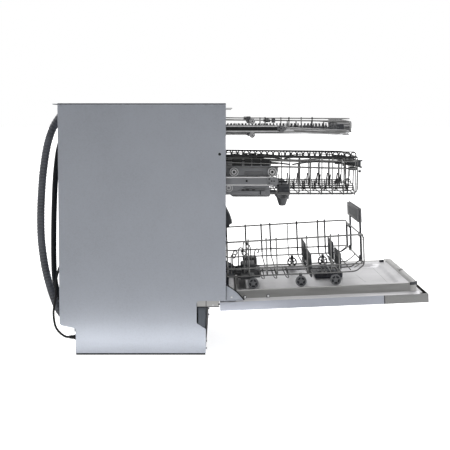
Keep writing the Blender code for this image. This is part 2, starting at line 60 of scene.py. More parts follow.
# ---- materials ----------------------------------------------------------------
class Mat:
    """A Principled material with small helpers; coordinates are the object's own."""

    def __init__(self, name):
        self.m = bpy.data.materials.new(name)
        self.m.use_nodes = True
        self.t = self.m.node_tree
        self.s = self.t.nodes["Principled BSDF"]
        self.co = self.t.nodes.new("ShaderNodeTexCoord")

    def set(self, **k):
        for a, b in k.items():
            self.s.inputs[a.replace("_", " ")].default_value = b
        return self

    def node(self, kind, **k):
        n = self.t.nodes.new(kind)
        for a, b in k.items():
            if a in n.inputs:
                n.inputs[a].default_value = b
            else:
                setattr(n, a, b)
        return n

    def link(self, a, b):
        self.t.links.new(a, b)

    def coords(self, scale=(1, 1, 1), rot=(0, 0, 0)):
        mp = self.node("ShaderNodeMapping")
        mp.inputs["Scale"].default_value = scale
        mp.inputs["Rotation"].default_value = rot
        self.link(self.co.outputs["Object"], mp.inputs["Vector"])
        return mp.outputs["Vector"]

    def noise(self, scale, detail=3, rough=0.55, stretch=(1, 1, 1), rot=(0, 0, 0)):
        n = self.node("ShaderNodeTexNoise")
        n.inputs["Scale"].default_value = scale
        n.inputs["Detail"].default_value = detail
        n.inputs["Roughness"].default_value = rough
        self.link(self.coords(stretch, rot), n.inputs["Vector"])
        return n.outputs["Fac"]

    def ramp(self, fac, stops):
        r = self.node("ShaderNodeValToRGB")
        e = r.color_ramp.elements
        while len(e) < len(stops):
            e.new(0.5)
        for el, (p, c) in zip(e, stops):
            el.position = p
            el.color = c if len(c) == 4 else (*c, 1)
        self.link(fac, r.inputs["Fac"])
        return r.outputs["Color"]

    def grey(self, fac, lo, hi, a=0.3, b=0.7):
        m = self.node("ShaderNodeMapRange")
        m.inputs["From Min"].default_value = a
        m.inputs["From Max"].default_value = b
        m.inputs["To Min"].default_value = lo
        m.inputs["To Max"].default_value = hi
        self.link(fac, m.inputs["Value"])
        return m.outputs["Result"]

    def color(self, out):
        self.link(out, self.s.inputs["Base Color"])
        return self

    def rough(self, out):
        self.link(out, self.s.inputs["Roughness"])
        return self

    def bump(self, height, strength, distance=0.0005):
        b = self.node("ShaderNodeBump")
        b.inputs["Strength"].default_value = strength
        b.inputs["Distance"].default_value = distance
        self.link(height, b.inputs["Height"])
        self.link(b.outputs["Normal"], self.s.inputs["Normal"])
        return self


def lin(r, g=None, b=None):
    g = r if g is None else g
    b = r if b is None else b
    f = lambda c: (c / 255 / 12.92) if c <= 10 else ((c / 255 + 0.055) / 1.055) ** 2.4
    return (f(r), f(g), f(b))


def mul(c, k):
    return tuple(min(1.0, x * k) for x in c)


def make_galvanised():
    m = Mat("galvanised").set(Metallic=0.86, Specular_IOR_Level=0.5)
    spangle = m.node("ShaderNodeTexVoronoi")
    spangle.inputs["Scale"].default_value = 260
    m.link(m.coords(), spangle.inputs["Vector"])
    fine = m.noise(900, 2)
    cloud = m.noise(5.5, 4)
    mix = m.node("ShaderNodeMix", data_type="FLOAT")
    mix.inputs[0].default_value = 0.45
    m.link(spangle.outputs["Color"], mix.inputs[2])
    m.link(fine, mix.inputs[3])
    mix2 = m.node("ShaderNodeMix", data_type="FLOAT")
    mix2.inputs[0].default_value = 0.45
    m.link(mix.outputs[0], mix2.inputs[2])
    m.link(cloud, mix2.inputs[3])
    base = (0.545, 0.575, 0.635)
    m.color(m.ramp(mix2.outputs[0], [(0.25, mul(base, 0.9)), (0.5, base), (0.8, mul(base, 1.08))]))
    m.rough(m.grey(mix.outputs[0], 0.42, 0.54))
    m.bump(fine, 0.05, 0.0003)
    return m.m


def make_paint():
    m = Mat("door_paint").set(Metallic=0.55, Specular_IOR_Level=0.5, Coat_Weight=0.12, Coat_Roughness=0.3)
    n = m.noise(1500, 2)
    c = m.noise(9, 3)
    base = (0.585, 0.61, 0.685)
    m.color(m.ramp(c, [(0.3, mul(base, 0.95)), (0.7, mul(base, 1.04))]))
    m.rough(m.grey(n, 0.38, 0.5))
    m.bump(n, 0.06, 0.0002)
    return m.m


def make_brushed(name, base, stretch, lo=0.28, hi=0.44, metal=1.0, bump=0.05, scale=140):
    m = Mat(name).set(Metallic=metal)
    streak = m.noise(scale, 4, 0.6, stretch)
    broad = m.noise(12, 2)
    mix = m.node("ShaderNodeMix", data_type="FLOAT")
    mix.inputs[0].default_value = 0.3
    m.link(streak, mix.inputs[2])
    m.link(broad, mix.inputs[3])
    m.color(m.ramp(mix.outputs[0], [(0.3, mul(base, 0.86)), (0.55, base), (0.75, mul(base, 1.1))]))
    m.rough(m.grey(streak, lo, hi))
    m.bump(streak, bump, 0.0002)
    return m.m


def make_plastic(name, base, lo=0.42, hi=0.55, grain=1400, strength=0.12):
    m = Mat(name).set(Specular_IOR_Level=0.45)
    g = m.noise(grain, 2)
    c = m.noise(14, 3)
    m.color(m.ramp(c, [(0.3, mul(base, 0.9)), (0.7, mul(base, 1.12))]))
    m.rough(m.grey(g, lo, hi))
    m.bump(g, strength, 0.00025)
    return m.m


def make_wire(name, base, metal=0.75):
    m = Mat(name).set(Metallic=metal)
    c = m.noise(35, 3)
    f = m.noise(700, 2)
    m.color(m.ramp(c, [(0.3, mul(base, 0.75)), (0.55, base), (0.75, mul(base, 1.18))]))
    m.rough(m.grey(f, 0.26, 0.4))
    m.bump(f, 0.06, 0.0002)
    return m.m


def make_rubber(name, base, rough=0.62):
    m = Mat(name).set(Specular_IOR_Level=0.35)
    f = m.noise(900, 2)
    c = m.noise(10, 3)
    m.color(m.ramp(c, [(0.3, mul(base, 0.8)), (0.7, mul(base, 1.25))]))
    m.rough(m.grey(f, rough - 0.06, rough + 0.08))
    m.bump(f, 0.1, 0.0003)
    return m.m


GALV = make_galvanised()
PAINT = make_paint()
BRUSHED = make_brushed("brushed_steel", (0.37, 0.37, 0.366), (1, 5, 5), 0.34, 0.44, 1.0, 0.02, 70)
STAINLESS = make_brushed("stainless_sheet", (0.6, 0.597, 0.59), (1, 0.25, 3), 0.42, 0.5, 1.0, 0.0, 26)
# lighter copy of the stainless sheet: painted highlight for up-facing and raised parts of the inner door
STAINLESS_HIGHLIGHT = make_brushed("stainless_painted_highlight", (0.78, 0.775, 0.79), (1, 0.2, 2), 0.36, 0.42, 1.0, 0.0, 8)
TUBSTEEL = make_brushed("tub_steel", (0.6, 0.6, 0.595), (1, 1, 9), 0.2, 0.32)
CHROME = make_brushed("rail_chrome", (0.86, 0.86, 0.87), (1, 1, 1), 0.3, 0.36, 1.0, 0.0, 20)
WIRE = make_wire("rack_wire", (0.32, 0.32, 0.317), 0.9)
# shaded copy of the rack wire: painted shade, used for the wires that lie in shade, mostly on the far side
WIRE_PAINTED_SHADE = make_wire("rack_wire_painted_shade", (0.055, 0.055, 0.058), 0.6)
DARK = make_plastic("dark_plastic", (0.075, 0.08, 0.09))
ROLLER = make_plastic("roller_plastic", (0.66, 0.66, 0.67))
RACK_GREY = make_plastic("carrier_plastic", (0.27, 0.275, 0.29))
GREY = make_plastic("grey_plastic", (0.185, 0.187, 0.195))
MIDGREY = make_plastic("mid_grey_plastic", (0.12, 0.123, 0.13))
BLUEGREY = make_plastic("dispenser_plastic", (0.055, 0.062, 0.08), 0.3, 0.42)
BLACK = make_plastic("black_plastic", (0.012, 0.0125, 0.0135))
HOSE = make_plastic("drain_hose_plastic", (0.15, 0.158, 0.18), 0.3, 0.4)
RUBBER = make_rubber("seal_rubber", (0.018, 0.019, 0.022))
INLET = make_rubber("inlet_hose_sheath", (0.011, 0.015, 0.02), 0.45)
LEAD = make_rubber("lead_sheath", (0.012, 0.0125, 0.014), 0.5)
LABEL = make_plastic("panel_glass", (0.01, 0.01, 0.012), 0.08, 0.14, 60, 0.0)
MOTOR = make_plastic("motor_lacquer", (0.04, 0.042, 0.048), 0.3, 0.4)
BRASS = make_brushed("plug_pins", (0.78, 0.76, 0.7), (12, 12, 1), 0.15, 0.25)


# ---- mesh helpers ---------------------------------------------------------------
def put(name, verts, faces, mat, body, smooth=30, replaces=(), mats=None, face_mats=None):
    me = bpy.data.meshes.new(name)
    me.from_pydata([tuple(Vector(v) * MM) for v in verts], [], faces)
    me.validate()
    me.update()
    return finish_mesh(name, me, mat, body, smooth, replaces, mats, face_mats)


def finish_mesh(name, me, mat, body, smooth=30, replaces=(), mats=None, face_mats=None):
    for m in (mats or [mat]):
        me.materials.append(m)
    if face_mats:
        me.polygons.foreach_set("material_index", face_mats)
    if smooth:
        me.shade_smooth()
        me.set_sharp_from_angle(angle=math.radians(smooth))
    ob = bpy.data.objects.new(name, me)
    bpy.context.scene.collection.objects.link(ob)
    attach(ob, body)
    if replaces:
        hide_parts(*replaces)
    return ob


class Build:
    """Gathers several closed shapes into one piece."""

    def __init__(self):
        self.v, self.f, self.m = [], [], []
        self.mi = 0

    def add(self, verts, faces):
        o = len(self.v)
        self.v += [Vector(p) for p in verts]
        self.f += [tuple(o + i for i in f) for f in faces]
        self.m += [self.mi] * len(faces)

    def use(self, index):
        self.mi = index
        return self

    def box(self, x0, x1, y0, y1, z0, z1, r=0.0, to=None, seg=1):
        bm = bmesh.new()
        bmesh.ops.create_cube(bm, size=1.0)
        for v in bm.verts:
            v.co = Vector(((x0 + x1) / 2 + v.co.x * (x1 - x0), (y0 + y1) / 2 + v.co.y * (y1 - y0), (z0 + z1) / 2 + v.co.z * (z1 - z0)))
        r = min(r, abs(x1 - x0) * 0.45, abs(y1 - y0) * 0.45, abs(z1 - z0) * 0.45)
        if r > 0:
            bmesh.ops.bevel(bm, geom=bm.edges[:] + bm.verts[:], offset=r, segments=seg, affect="EDGES", profile=0.5)
        self.take(bm, to)
        return self

    def take(self, bm, to=None):
        bm.verts.index_update()
        pts = [v.co.copy() for v in bm.verts]
        if to:
            pts = [to(p.x, p.y, p.z) for p in pts]
        faces = [tuple(v.index for v in f.verts) for f in bm.faces]
        bm.free()
        self.add(pts, faces)

    def prism(self, outline, lo, hi, axis="X", bevel=0.0, to=None, seg=1):
        bm = bmesh.new()
        n = len(outline)
        area = sum(a[0] * b[1] - b[0] * a[1] for a, b in zip(outline, outline[1:] + outline[:1]))
        pts = list(outline) if area > 0 else list(outline)[::-1]
        if axis == "Y":
            pts, lo, hi = pts, lo, hi
        place = {"X": lambda h, p: (h, p[0], p[1]), "Y": lambda h, p: (p[0], h, p[1]), "Z": lambda h, p: (p[0], p[1], h)}[axis]
        a = [bm.verts.new(place(lo, p)) for p in pts]
        b = [bm.verts.new(place(hi, p)) for p in pts]
        caps = [bm.faces.new(a[::-1]), bm.faces.new(b)]
        for i in range(n):
            bm.faces.new((a[i], a[(i + 1) % n], b[(i + 1) % n], b[i]))
        bmesh.ops.recalc_face_normals(bm, faces=bm.faces)
        if bevel > 0:
            edges = [e for f in caps for e in f.edges]
            bmesh.ops.bevel(bm, geom=edges, offset=bevel, segments=seg, affect="EDGES", profile=0.5)
        self.take(bm, to)
        return self

    def turned(self, profile, at=(0, 0, 0), axis="Z", sides=32, to=None, close=True):
        """profile: (radius, height) bottom to top; radius 0 makes a pole."""
        turn = {"Z": Matrix.Identity(3), "X": Matrix(((0, 0, 1), (1, 0, 0), (0, 1, 0))), "Y": Matrix(((0, 1, 0), (0, 0, 1), (1, 0, 0)))}[axis]
        pts, rows = [], []
        for r, h in profile:
            if r < 1e-6:
                rows.append([len(pts)])
                pts.append(turn @ Vector((0, 0, h)) + Vector(at))
            else:
                row = []
                for i in range(sides):
                    a = 2 * math.pi * i / sides
                    row.append(len(pts))
                    pts.append(turn @ Vector((r * math.cos(a), r * math.sin(a), h)) + Vector(at))
                rows.append(row)
        faces = []
        if len(rows[0]) > 1 and close:
            faces.append(tuple(reversed(rows[0])))
        for a, b in zip(rows, rows[1:]):
            for i in range(sides):
                j = (i + 1) % sides
                if len(a) == 1 and len(b) == 1:
                    continue
                if len(a) == 1:
                    faces.append((a[0], b[j], b[i]))
                elif len(b) == 1:
                    faces.append((a[i], a[j], b[0]))
                else:
                    faces.append((a[i], a[j], b[j], b[i]))
        if len(rows[-1]) > 1 and close:
            faces.append(tuple(rows[-1]))
        if to:
            pts = [to(p.x, p.y, p.z) for p in pts]
        self.add(pts, faces)
        return self

    def ring(self, profile, at=(0, 0, 0), axis="X", sides=32, to=None):
        """A closed section (radius, height) turned all round: a tyre or a hoop."""
        turn = {"Z": Matrix.Identity(3), "X": Matrix(((0, 0, 1), (1, 0, 0), (0, 1, 0))), "Y": Matrix(((0, 1, 0), (0, 0, 1), (1, 0, 0)))}[axis]
        n = len(profile)
        area = sum(a[0] * b[1] - b[0] * a[1] for a, b in zip(profile, profile[1:] + profile[:1]))
        prof = profile if area > 0 else profile[::-1]
        pts = []
        for i in range(sides):
            a = 2 * math.pi * i / sides
            for r, h in prof:
                pts.append(turn @ Vector((r * math.cos(a), r * math.sin(a), h)) + Vector(at))
        faces = []
        for i in range(sides):
            j = (i + 1) % sides
            for k in range(n):
                l = (k + 1) % n
                faces.append((i * n + k, j * n + k, j * n + l, i * n + l))
        if to:
            pts = [to(p.x, p.y, p.z) for p in pts]
        self.add(pts, faces)
        return self

    def wire(self, points, r, sides=8, fillet=0.0, closed=False, steps=4, to=None, cap=True):
        """A round wire along a route; corners are rounded to `fillet`."""
        P = [Vector(p) for p in points]
        if fillet > 0:
            P = round_corners(P, fillet, closed, steps)
        if to:
            P = [to(p.x, p.y, p.z) for p in P]
        Q = [P[0]]
        for p in P[1:]:
            if (p - Q[-1]).length > 1e-4:
                Q.append(p)
        if closed and (Q[0] - Q[-1]).length < 1e-4:
            Q.pop()
        P = Q
        n = len(P)
        rings = []
        up = None
        for i in range(n):
            if closed:
                d = (P[(i + 1) % n] - P[i]).normalized() + (P[i] - P[i - 1]).normalized()
            elif i == 0:
                d = P[1] - P[0]
            elif i == n - 1:
                d = P[-1] - P[-2]
            else:
                d = (P[i + 1] - P[i]).normalized() + (P[i] - P[i - 1]).normalized()
            d.normalize()
            if up is None:
                up = Vector((0, 0, 1)) if abs(d.z) < 0.9 else Vector((1, 0, 0))
            side = up.cross(d)
            if side.length < 1e-6:
                side = Vector((0, 1, 0)).cross(d)
            side.normalize()
            up = d.cross(side).normalized()
            k = 1.0
            if 0 < i < n - 1 or closed:
                a = (P[i] - P[i - 1]).normalized()
                cosine = max(-1.0, min(1.0, a.dot(d)))
                k = 1.0 / max(cosine, 0.5)
            rings.append([P[i] + (side * math.cos(2 * math.pi * j / sides) + up * math.sin(2 * math.pi * j / sides)) * r for j in range(sides)])
        pts = [p for ring in rings for p in ring]
        faces = []
        m = n if closed else n - 1
        for i in range(m):
            a, b = i * sides, ((i + 1) % n) * sides
            for j in range(sides):
                k2 = (j + 1) % sides
                faces.append((a + j, a + k2, b + k2, b + j))
        if not closed and cap:
            faces.append(tuple(range(sides))[::-1])
            faces.append(tuple(range((n - 1) * sides, n * sides)))
        self.add(pts, faces)
        return self

    def done(self, name, mat, body, slot=None, smooth=35, replaces=(), mats=None):
        ob = put(name, self.v, self.f, mat, body, smooth, replaces, mats, self.m if mats else None)
        return ob


def round_corners(P, radius, closed=False, steps=4):
    out, n = [], len(P)
    for i in range(n):
        if not closed and i in (0, n - 1):
            out.append(P[i])
            continue
        a, p, b = P[i - 1], P[i], P[(i + 1) % n]
        da, db = (a - p), (b - p)
        if da.length < 1e-6 or db.length < 1e-6 or da.normalized().dot(db.normalized()) < -0.999:
            out.append(p)
            continue
        r = min(radius, da.length * 0.48, db.length * 0.48)
        s, e = p + da.normalized() * r, p + db.normalized() * r
        for k in range(steps + 1):
            t = k / steps
            out.append(s * (1 - t) ** 2 + p * 2 * t * (1 - t) + e * t * t)
    return out


def round2(points, radius, steps=4):
    P = round_corners([Vector((p[0], p[1], 0)) for p in points], radius, True, steps)
    return [(p.x, p.y) for p in P]


def rrect(x0, x1, y0, y1, r, steps=4):
    return round2([(x0, y0), (x1, y0), (x1, y1), (x0, y1)], r, steps)


def screw(b, at, axis, r=4.0, h=1.6, sides=20, slot_w=0.9):
    """A pan-head screw: a low dome with a cross recess, its axis outward."""
    d = Vector(axis).normalized()
    ref = Vector((0, 0, 1)) if abs(d.z) < 0.9 else Vector((1, 0, 0))
    a = ref.cross(d).normalized()
    c = d.cross(a)
    to = lambda x, y, z: Vector(at) + a * x + c * y + d * z
    b.turned([(r, 0), (r, h * 0.45), (r * 0.8, h * 0.85), (r * 0.42, h), (r * 0.42, h * 0.4), (0, h * 0.4)], sides=sides, to=to)


def smooth_route(points, spacing):
    P = [Vector(p) for p in points]
    P = [P[0] * 2 - P[1]] + P + [P[-1] * 2 - P[-2]]
    fine = []
    for i in range(1, len(P) - 2):
        for k in range(40):
            t = k / 40
            a, b, c, d = P[i - 1], P[i], P[i + 1], P[i + 2]
            fine.append(0.5 * ((2 * b) + (c - a) * t + (2 * a - 5 * b + 4 * c - d) * t * t + (3 * b - a - 3 * c + d) * t ** 3))
    fine.append(P[-2])
    run = [0.0]
    for a, b in zip(fine, fine[1:]):
        run.append(run[-1] + (b - a).length)
    n = max(2, round(run[-1] / spacing))
    out, j = [], 0
    for i in range(n + 1):
        s = run[-1] * i / n
        while j < len(run) - 2 and run[j + 1] < s:
            j += 1
        f = (s - run[j]) / max(run[j + 1] - run[j], 1e-9)
        out.append(fine[j].lerp(fine[j + 1], min(1.0, f)))
    return out, run[-1]


# ---- camera, light, floor --------------------------------------------------------
cam = bpy.data.cameras.new("camera")
cam_ob = bpy.data.objects.new("camera", cam)
bpy.context.scene.collection.objects.link(cam_ob)
bpy.context.scene.camera = cam_ob
PITCH = math.radians(3.6)
FOCAL = 1060.0
cam.sensor_width = 36.0
cam.lens = FOCAL / 450 * 36
cam.shift_y = -(106.8 - FOCAL * math.tan(PITCH)) / 450
cam.shift_x = 0.6 / 450
cam_ob.location = (-3.699, -0.2648, 0.767)
cam_ob.rotation_euler = (math.pi / 2 - PITCH, 0, -math.pi / 2)
cam.clip_start, cam.clip_end = 0.05, 200

world = bpy.data.worlds.new("studio")
bpy.context.scene.world = world
world.use_nodes = True
wt = world.node_tree
bg = wt.nodes["Background"]
lp = wt.nodes.new("ShaderNodeLightPath")
tc = wt.nodes.new("ShaderNodeTexCoord")
sep = wt.nodes.new("ShaderNodeSeparateXYZ")
mr = wt.nodes.new("ShaderNodeMapRange")
mr.inputs["From Min"].default_value, mr.inputs["From Max"].default_value = -0.5, 0.6
mr.inputs["To Min"].default_value, mr.inputs["To Max"].default_value = 0.085, 0.75
wt.links.new(tc.outputs["Generated"], sep.inputs["Vector"])
wt.links.new(sep.outputs["X"], mr.inputs["Value"])
mx = wt.nodes.new("ShaderNodeMath")
mx.operation = "MAXIMUM"
wt.links.new(mr.outputs["Result"], mx.inputs[0])
wt.links.new(lp.outputs["Is Camera Ray"], mx.inputs[1])
wt.links.new(mx.outputs["Value"], bg.inputs["Strength"])
bg.inputs["Color"].default_value = (1, 1, 1, 1)


def area(name, at, look, size, power, size_y=None):
    li = bpy.data.lights.new(name, "AREA")
    li.energy, li.size = power, size
    if size_y:
        li.shape, li.size_y = "RECTANGLE", size_y
    ob = bpy.data.objects.new(name, li)
    bpy.context.scene.collection.objects.link(ob)
    ob.location = at
    ob.rotation_euler = (Vector(look) - Vector(at)).to_track_quat("-Z", "Y").to_euler()
    return ob


sun = bpy.data.lights.new("overhead", "SUN")
sun.energy, sun.angle = 1.25, math.radians(90)
sun_ob = bpy.data.objects.new("overhead", sun)
sun_ob.rotation_euler = (math.radians(-8), math.radians(6), 0)
bpy.context.scene.collection.objects.link(sun_ob)
area("front_soft", (-1.0, -3.6, 1.8), (0, -0.3, 0.4), 1.6, 15, 1.6)
area("left_soft", (-1.9, -2.3, 1.35), (0, -0.2, 0.55), 1.2, 4.6, 1.0)
low = area("low_strip", (-0.47, -0.05, 0.012), (-0.25, -0.05, 0.03), 0.8, 0.34, 0.04)
low.visible_camera = False

floor_mat = Mat("floor").set(Roughness=0.85, Specular_IOR_Level=0.1)
floor_mat.color(floor_mat.ramp(floor_mat.noise(0.8, 2), [(0.3, (0.955, 0.955, 0.955)), (0.7, (0.975, 0.975, 0.975))]))
lpf = floor_mat.node("ShaderNodeLightPath")
floor_mat.s.inputs["Emission Color"].default_value = (1, 1, 1, 1)
glow = floor_mat.node("ShaderNodeMath")
glow.operation = "MULTIPLY"
glow.inputs[1].default_value = 0.86
floor_mat.link(lpf.outputs["Is Camera Ray"], glow.inputs[0])
floor_mat.link(glow.outputs["Value"], floor_mat.s.inputs["Emission Strength"])
me = bpy.data.meshes.new("floor")
me.from_pydata([(-80, -80, -0.0006), (80, -80, -0.0006), (80, 80, -0.0006), (-80, 80, -0.0006)], [], [(0, 1, 2, 3)])
me.materials.append(floor_mat.m)
floor = bpy.data.objects.new("floor", me)
bpy.context.scene.collection.objects.link(floor)
vs = bpy.context.scene.view_settings
vs.view_transform, vs.look, vs.exposure, vs.gamma = "Standard", "None", 0.0, 1.0

# ---- hoses and mains lead ------------------------------------------------------------
DRAIN_D, INLET_D, LEAD_D = 25.6, 18.6, 7.4
DRAIN = [
    (-215, 223.6, 106), (-215, 240, 106.3), (-215, 258, 109), (-215, 275, 120), (-215, 290, 144), (-215, 304, 180), (-215, 318, 228),
    (-215, 331, 290), (-215, 340, 370), (-215, 341, 450), (-215, 337, 530), (-215, 330, 602), (-213, 317, 680),
    (-204, 299, 736), (-178, 276, 777), (-125, 258, 797), (-72, 257, 780), (-38, 257, 738), (-24, 257, 675),
    (-22, 257, 560), (-22, 257, 450), (-22, 257, 340),
]
INLET_R = [
    (-150, 223.4, 112), (-150, 240, 112.3), (-150, 258, 116), (-150, 274, 128), (-150, 288, 150), (-150, 300, 186), (-150, 308, 235),
    (-150, 310, 300), (-150, 309, 400), (-150, 306, 490), (-149, 301, 580), (-146, 291, 660), (-136, 275, 712),
    (-116, 254, 744), (-90, 238, 752), (-65, 233, 738), (-51, 233, 705), (-48, 233, 640), (-48, 233, 560),
    (-48, 233, 460), (-48, 233, 350), (-48, 233, 240),
]
LEAD_R = [
    (-270, 243.9, 53), (-270, 251, 53.4), (-270, 259, 56.5), (-270, 273, 67), (-270, 286, 85), (-270, 292, 111), (-270, 293, 140),
    (-270, 288, 170), (-270, 285, 200), (-270, 284, 238), (-271, 275, 275), (-272, 258, 320), (-272, 246, 380),
    (-272, 242, 470), (-272, 242, 560), (-268, 242, 600), (-254, 242, 626), (-236, 242, 635), (-218, 242, 626),
    (-204, 242, 600), (-200, 242, 560), (-200, 242, 460), (-200, 242, 350), (-200, 242, 240), (-196, 242, 204),
    (-183, 242, 180), (-166, 242, 172), (-148, 242, 180), (-136, 242, 204), (-132, 242, 240), (-132, 242, 350),
    (-132, 242, 460), (-132, 242, 590),
]


def ribbed(points, diameter, pitch, depth, sides=20):
    """A corrugated hose: rings of changing radius along the route."""
    pts, length = smooth_route(points, pitch / 4)
    b = Build()
    r0 = diameter / 2
    rings, up = [], Vector((1, 0, 0))
    plain = 46.0
    for i, p in enumerate(pts):
        d = (pts[min(i + 1, len(pts) - 1)] - pts[max(i - 1, 0)]).normalized()
        side = up.cross(d).normalized()
        up = d.cross(side).normalized()
        s = length * i / (len(pts) - 1)
        k = (0, 1, 1, 1)[i % 4]
        r = r0 - depth * (1 - k)
        if s < plain or length - s < plain:
            r = r0 - 0.6
        rings.append([p + (side * math.cos(2 * math.pi * j / sides) + up * math.sin(2 * math.pi * j / sides)) * r for j in range(sides)])
    v = [q for ring in rings for q in ring]
    f = []
    for i in range(len(rings) - 1):
        for j in range(sides):
            k = (j + 1) % sides
            f.append((i * sides + j, i * sides + k, (i + 1) * sides + k, (i + 1) * sides + j))
    f.append(tuple(range(sides))[::-1])
    f.append(tuple(range((len(rings) - 1) * sides, len(rings) * sides)))
    b.add(v, f)
    return b, pts, length


b, drain_pts, drain_len = ribbed(DRAIN, DRAIN_D, 10.4, 1.2)
drain = b.done("drain_hose_ribbed", HOSE, "cabinet", "dark_plastic", 50, ("drain_hose",))
b = Build().turned([(8.5, -30), (13.2, -30), (13.4, -12), (12.9, -10), (12.9, 14), (8.5, 14)], (-22, 257, 340), "Z", 28)
cuff = b.done("drain_hose_cuff", BLACK, "cabinet", "black_plastic", 40)
# darker copy of the hose plastic: painted shade for the faces down in the corrugation grooves
groove = HOSE.copy()
groove.name = "drain_hose_groove_shade"
for node in groove.node_tree.nodes:
    if node.type == "VALTORGB":
        for stop in node.color_ramp.elements:
            if max(stop.color[:3]) < 0.2:
                stop.color = (stop.color[0] * 0.6, stop.color[1] * 0.6, stop.color[2] * 0.6, 1)
if len(drain.data.materials) == 1:
    drain.data.materials.append(groove)
# the groove faces of the ribbed run take the painted-shade copy
SIDES = 20
for p in drain.data.polygons:
    ring = p.index // SIDES
    if len(p.vertices) == 4 and ring % 4 in (3, 0) and 18 < ring < len(drain.data.polygons) // SIDES - 18:
        p.material_index = 1


def curve_tube(name, points, diameter, spacing, mat, res=4):
    pts, length = smooth_route(points, spacing)
    cu = bpy.data.curves.new(name, "CURVE")
    cu.dimensions = "3D"
    sp = cu.splines.new("POLY")
    sp.points.add(len(pts) - 1)
    for q, p in zip(sp.points, pts):
        q.co = (*(p * MM), 1)
    sp.use_smooth = True
    cu.bevel_depth = diameter * 0.5 * MM
    cu.bevel_resolution = res
    cu.use_fill_caps = True
    cu.materials.append(mat)
    ob = bpy.data.objects.new(name, cu)
    bpy.context.scene.collection.objects.link(ob)
    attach(ob, "cabinet")
    return ob, length


inlet, inlet_len = curve_tube("inlet_hose_sheathed", INLET_R, INLET_D, 7, INLET)
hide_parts("inlet_hose")
b = Build()
b.box(-68, -28, 223.5, 264, 160, 236, 5, seg=3)
b.box(-60, -36, 224, 250, 129, 160, 3, seg=2)
b.turned([(9.5, 228), (11.5, 229), (11.5, 239), (9.6, 239.6)], (-48, 233, 0), "Z", 28)
for k in range(5):
    b.box(-64, -32, 263.2, 264.4, 172 + k * 12, 176 + k * 12, 0.5)
valve = b.done("inlet_valve_housing", GREY, "cabinet", "grey_plastic", 35, ("inlet_valve",))
lead, lead_len = curve_tube("mains_lead_sheathed", LEAD_R, LEAD_D, 5, LEAD)
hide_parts("mains_lead")
b = Build()
b.turned([(0, 217.2), (11, 217.2), (11, 221), (9.5, 222.2), (8, 223.5), (7.2, 226), (7.2, 227.4), (5.9, 228), (5.9, 229.6), (7, 230.2), (7, 232), (5.5, 232.6), (5.5, 234.4), (6.4, 235), (6.4, 236.8), (5.1, 237.4), (5.1, 239.4), (5.6, 240), (5.2, 242.6), (0, 242.6)], (-270, 0, 53), "Y", 28)
gland = b.done("mains_strain_relief", BLACK, "cabinet", "black_plastic", 35, ("mains_gland",))
b = Build()
b.turned([(0, 590.6), (5.6, 590.6), (6.8, 594), (5.6, 596), (7, 599), (5.9, 601), (8.2, 604), (12, 608), (17.6, 612), (18.4, 618), (17.2, 622), (17.2, 630), (18.4, 634), (18.4, 642), (17, 644), (0, 644)], (-132, 242, 0), "Z", 36)
for s in (-1, 1):
    b.use(1).turned([(0, 643), (2.4, 643), (2.4, 658), (1.4, 662), (0, 662.4)], (-132 + s * 9.5, 242, 0), "Z", 16)
plug = b.done("mains_plug_body", BLACK, "cabinet", "black_plastic", 35, ("mains_plug",), [BLACK, BRASS])

# ---- cabinet shell ------------------------------------------------------------------
def sheet(outline, holes, lo, hi, place, b):
    """A flat sheet with holes through it, between two parallel faces."""
    from mathutils.geometry import tessellate_polygon
    loops = [outline] + holes
    flat = [p for l in loops for p in l]
    tris = tessellate_polygon([[Vector((p[0], p[1], 0)) for p in l] for l in loops])
    n = len(flat)
    v = [place(p[0], p[1], lo) for p in flat] + [place(p[0], p[1], hi) for p in flat]
    f = [tuple(t) for t in tris] + [tuple(n + i for i in reversed(t)) for t in tris]
    o = 0
    for l in loops:
        m = len(l)
        for i in range(m):
            j = (i + 1) % m
            f.append((o + i, o + j, n + o + j, n + o + i))
        o += m
    bm = bmesh.new()
    bv = [bm.verts.new(p) for p in v]
    for t in f:
        try:
            bm.faces.new([bv[i] for i in t])
        except ValueError:
            pass
    bmesh.ops.recalc_face_normals(bm, faces=bm.faces)
    b.take(bm)


def circle(cx, cy, r, n=24):
    return [(cx + r * math.cos(2 * math.pi * i / n), cy + r * math.sin(2 * math.pi * i / n)) for i in range(n)]


PANEL = [
    (-269.5, 811.6), (-269.5, 176.5), (-186, 176.5), (-178, 175), (-175, 169), (-175, 104), (-204.5, 85), (-204.5, 6), (217.5, 6),
    (217.5, 79), (219.5, 86), (225, 88.8), (263, 96.5), (269.5, 102), (269.5, 811.6),
]
for side, s in (("left", -1), ("right", 1)):
    b = Build()
    place = lambda y, z, h, s=s: (s * h, y, z)
    sheet(PANEL, [circle(-249.5, 651.6, 4.6)], 297.4, 299.0, place, b)
    # folded hems behind the front, the notch and the rear edge
    for y0, y1, z0, z1 in ((-269.5, -268.3, 176.5, 811), (268.3, 269.5, 104, 811)):
        b.box(min(s * 285, s * 297.6), max(s * 285, s * 297.6), y0, y1, z0, z1, 0.3)
    b.done("side_panel_%s_sheet" % side, GALV, "cabinet", "galvanised", 30, ("side_panel_%s" % side,))
    b = Build()
    # a black cylinder behind the side screw hole: painted shade inside the hole
    b.turned([(0, 288), (9, 288), (9, 297.2), (0, 297.2)] if s > 0 else [(0, -297.2), (9, -297.2), (9, -288), (0, -288)], (0, -249.5, 651.6), "X", 20)
    b.done("side_hole_shade_%s" % side, BLACK, "cabinet", "black_plastic")
b = Build()
b.box(-299, 299, -269.5, 269.5, 812.6, 815, 0.6)
b.box(-290, 290, 262, 287, 811.4, 813.6, 0.5)
for s in (-1, 1):
    b.box(s * 299 if s < 0 else 297.6, -297.6 if s < 0 else 299, -269.5, 269.5, 813.4, 814.4, 0.2)
b.use(1)
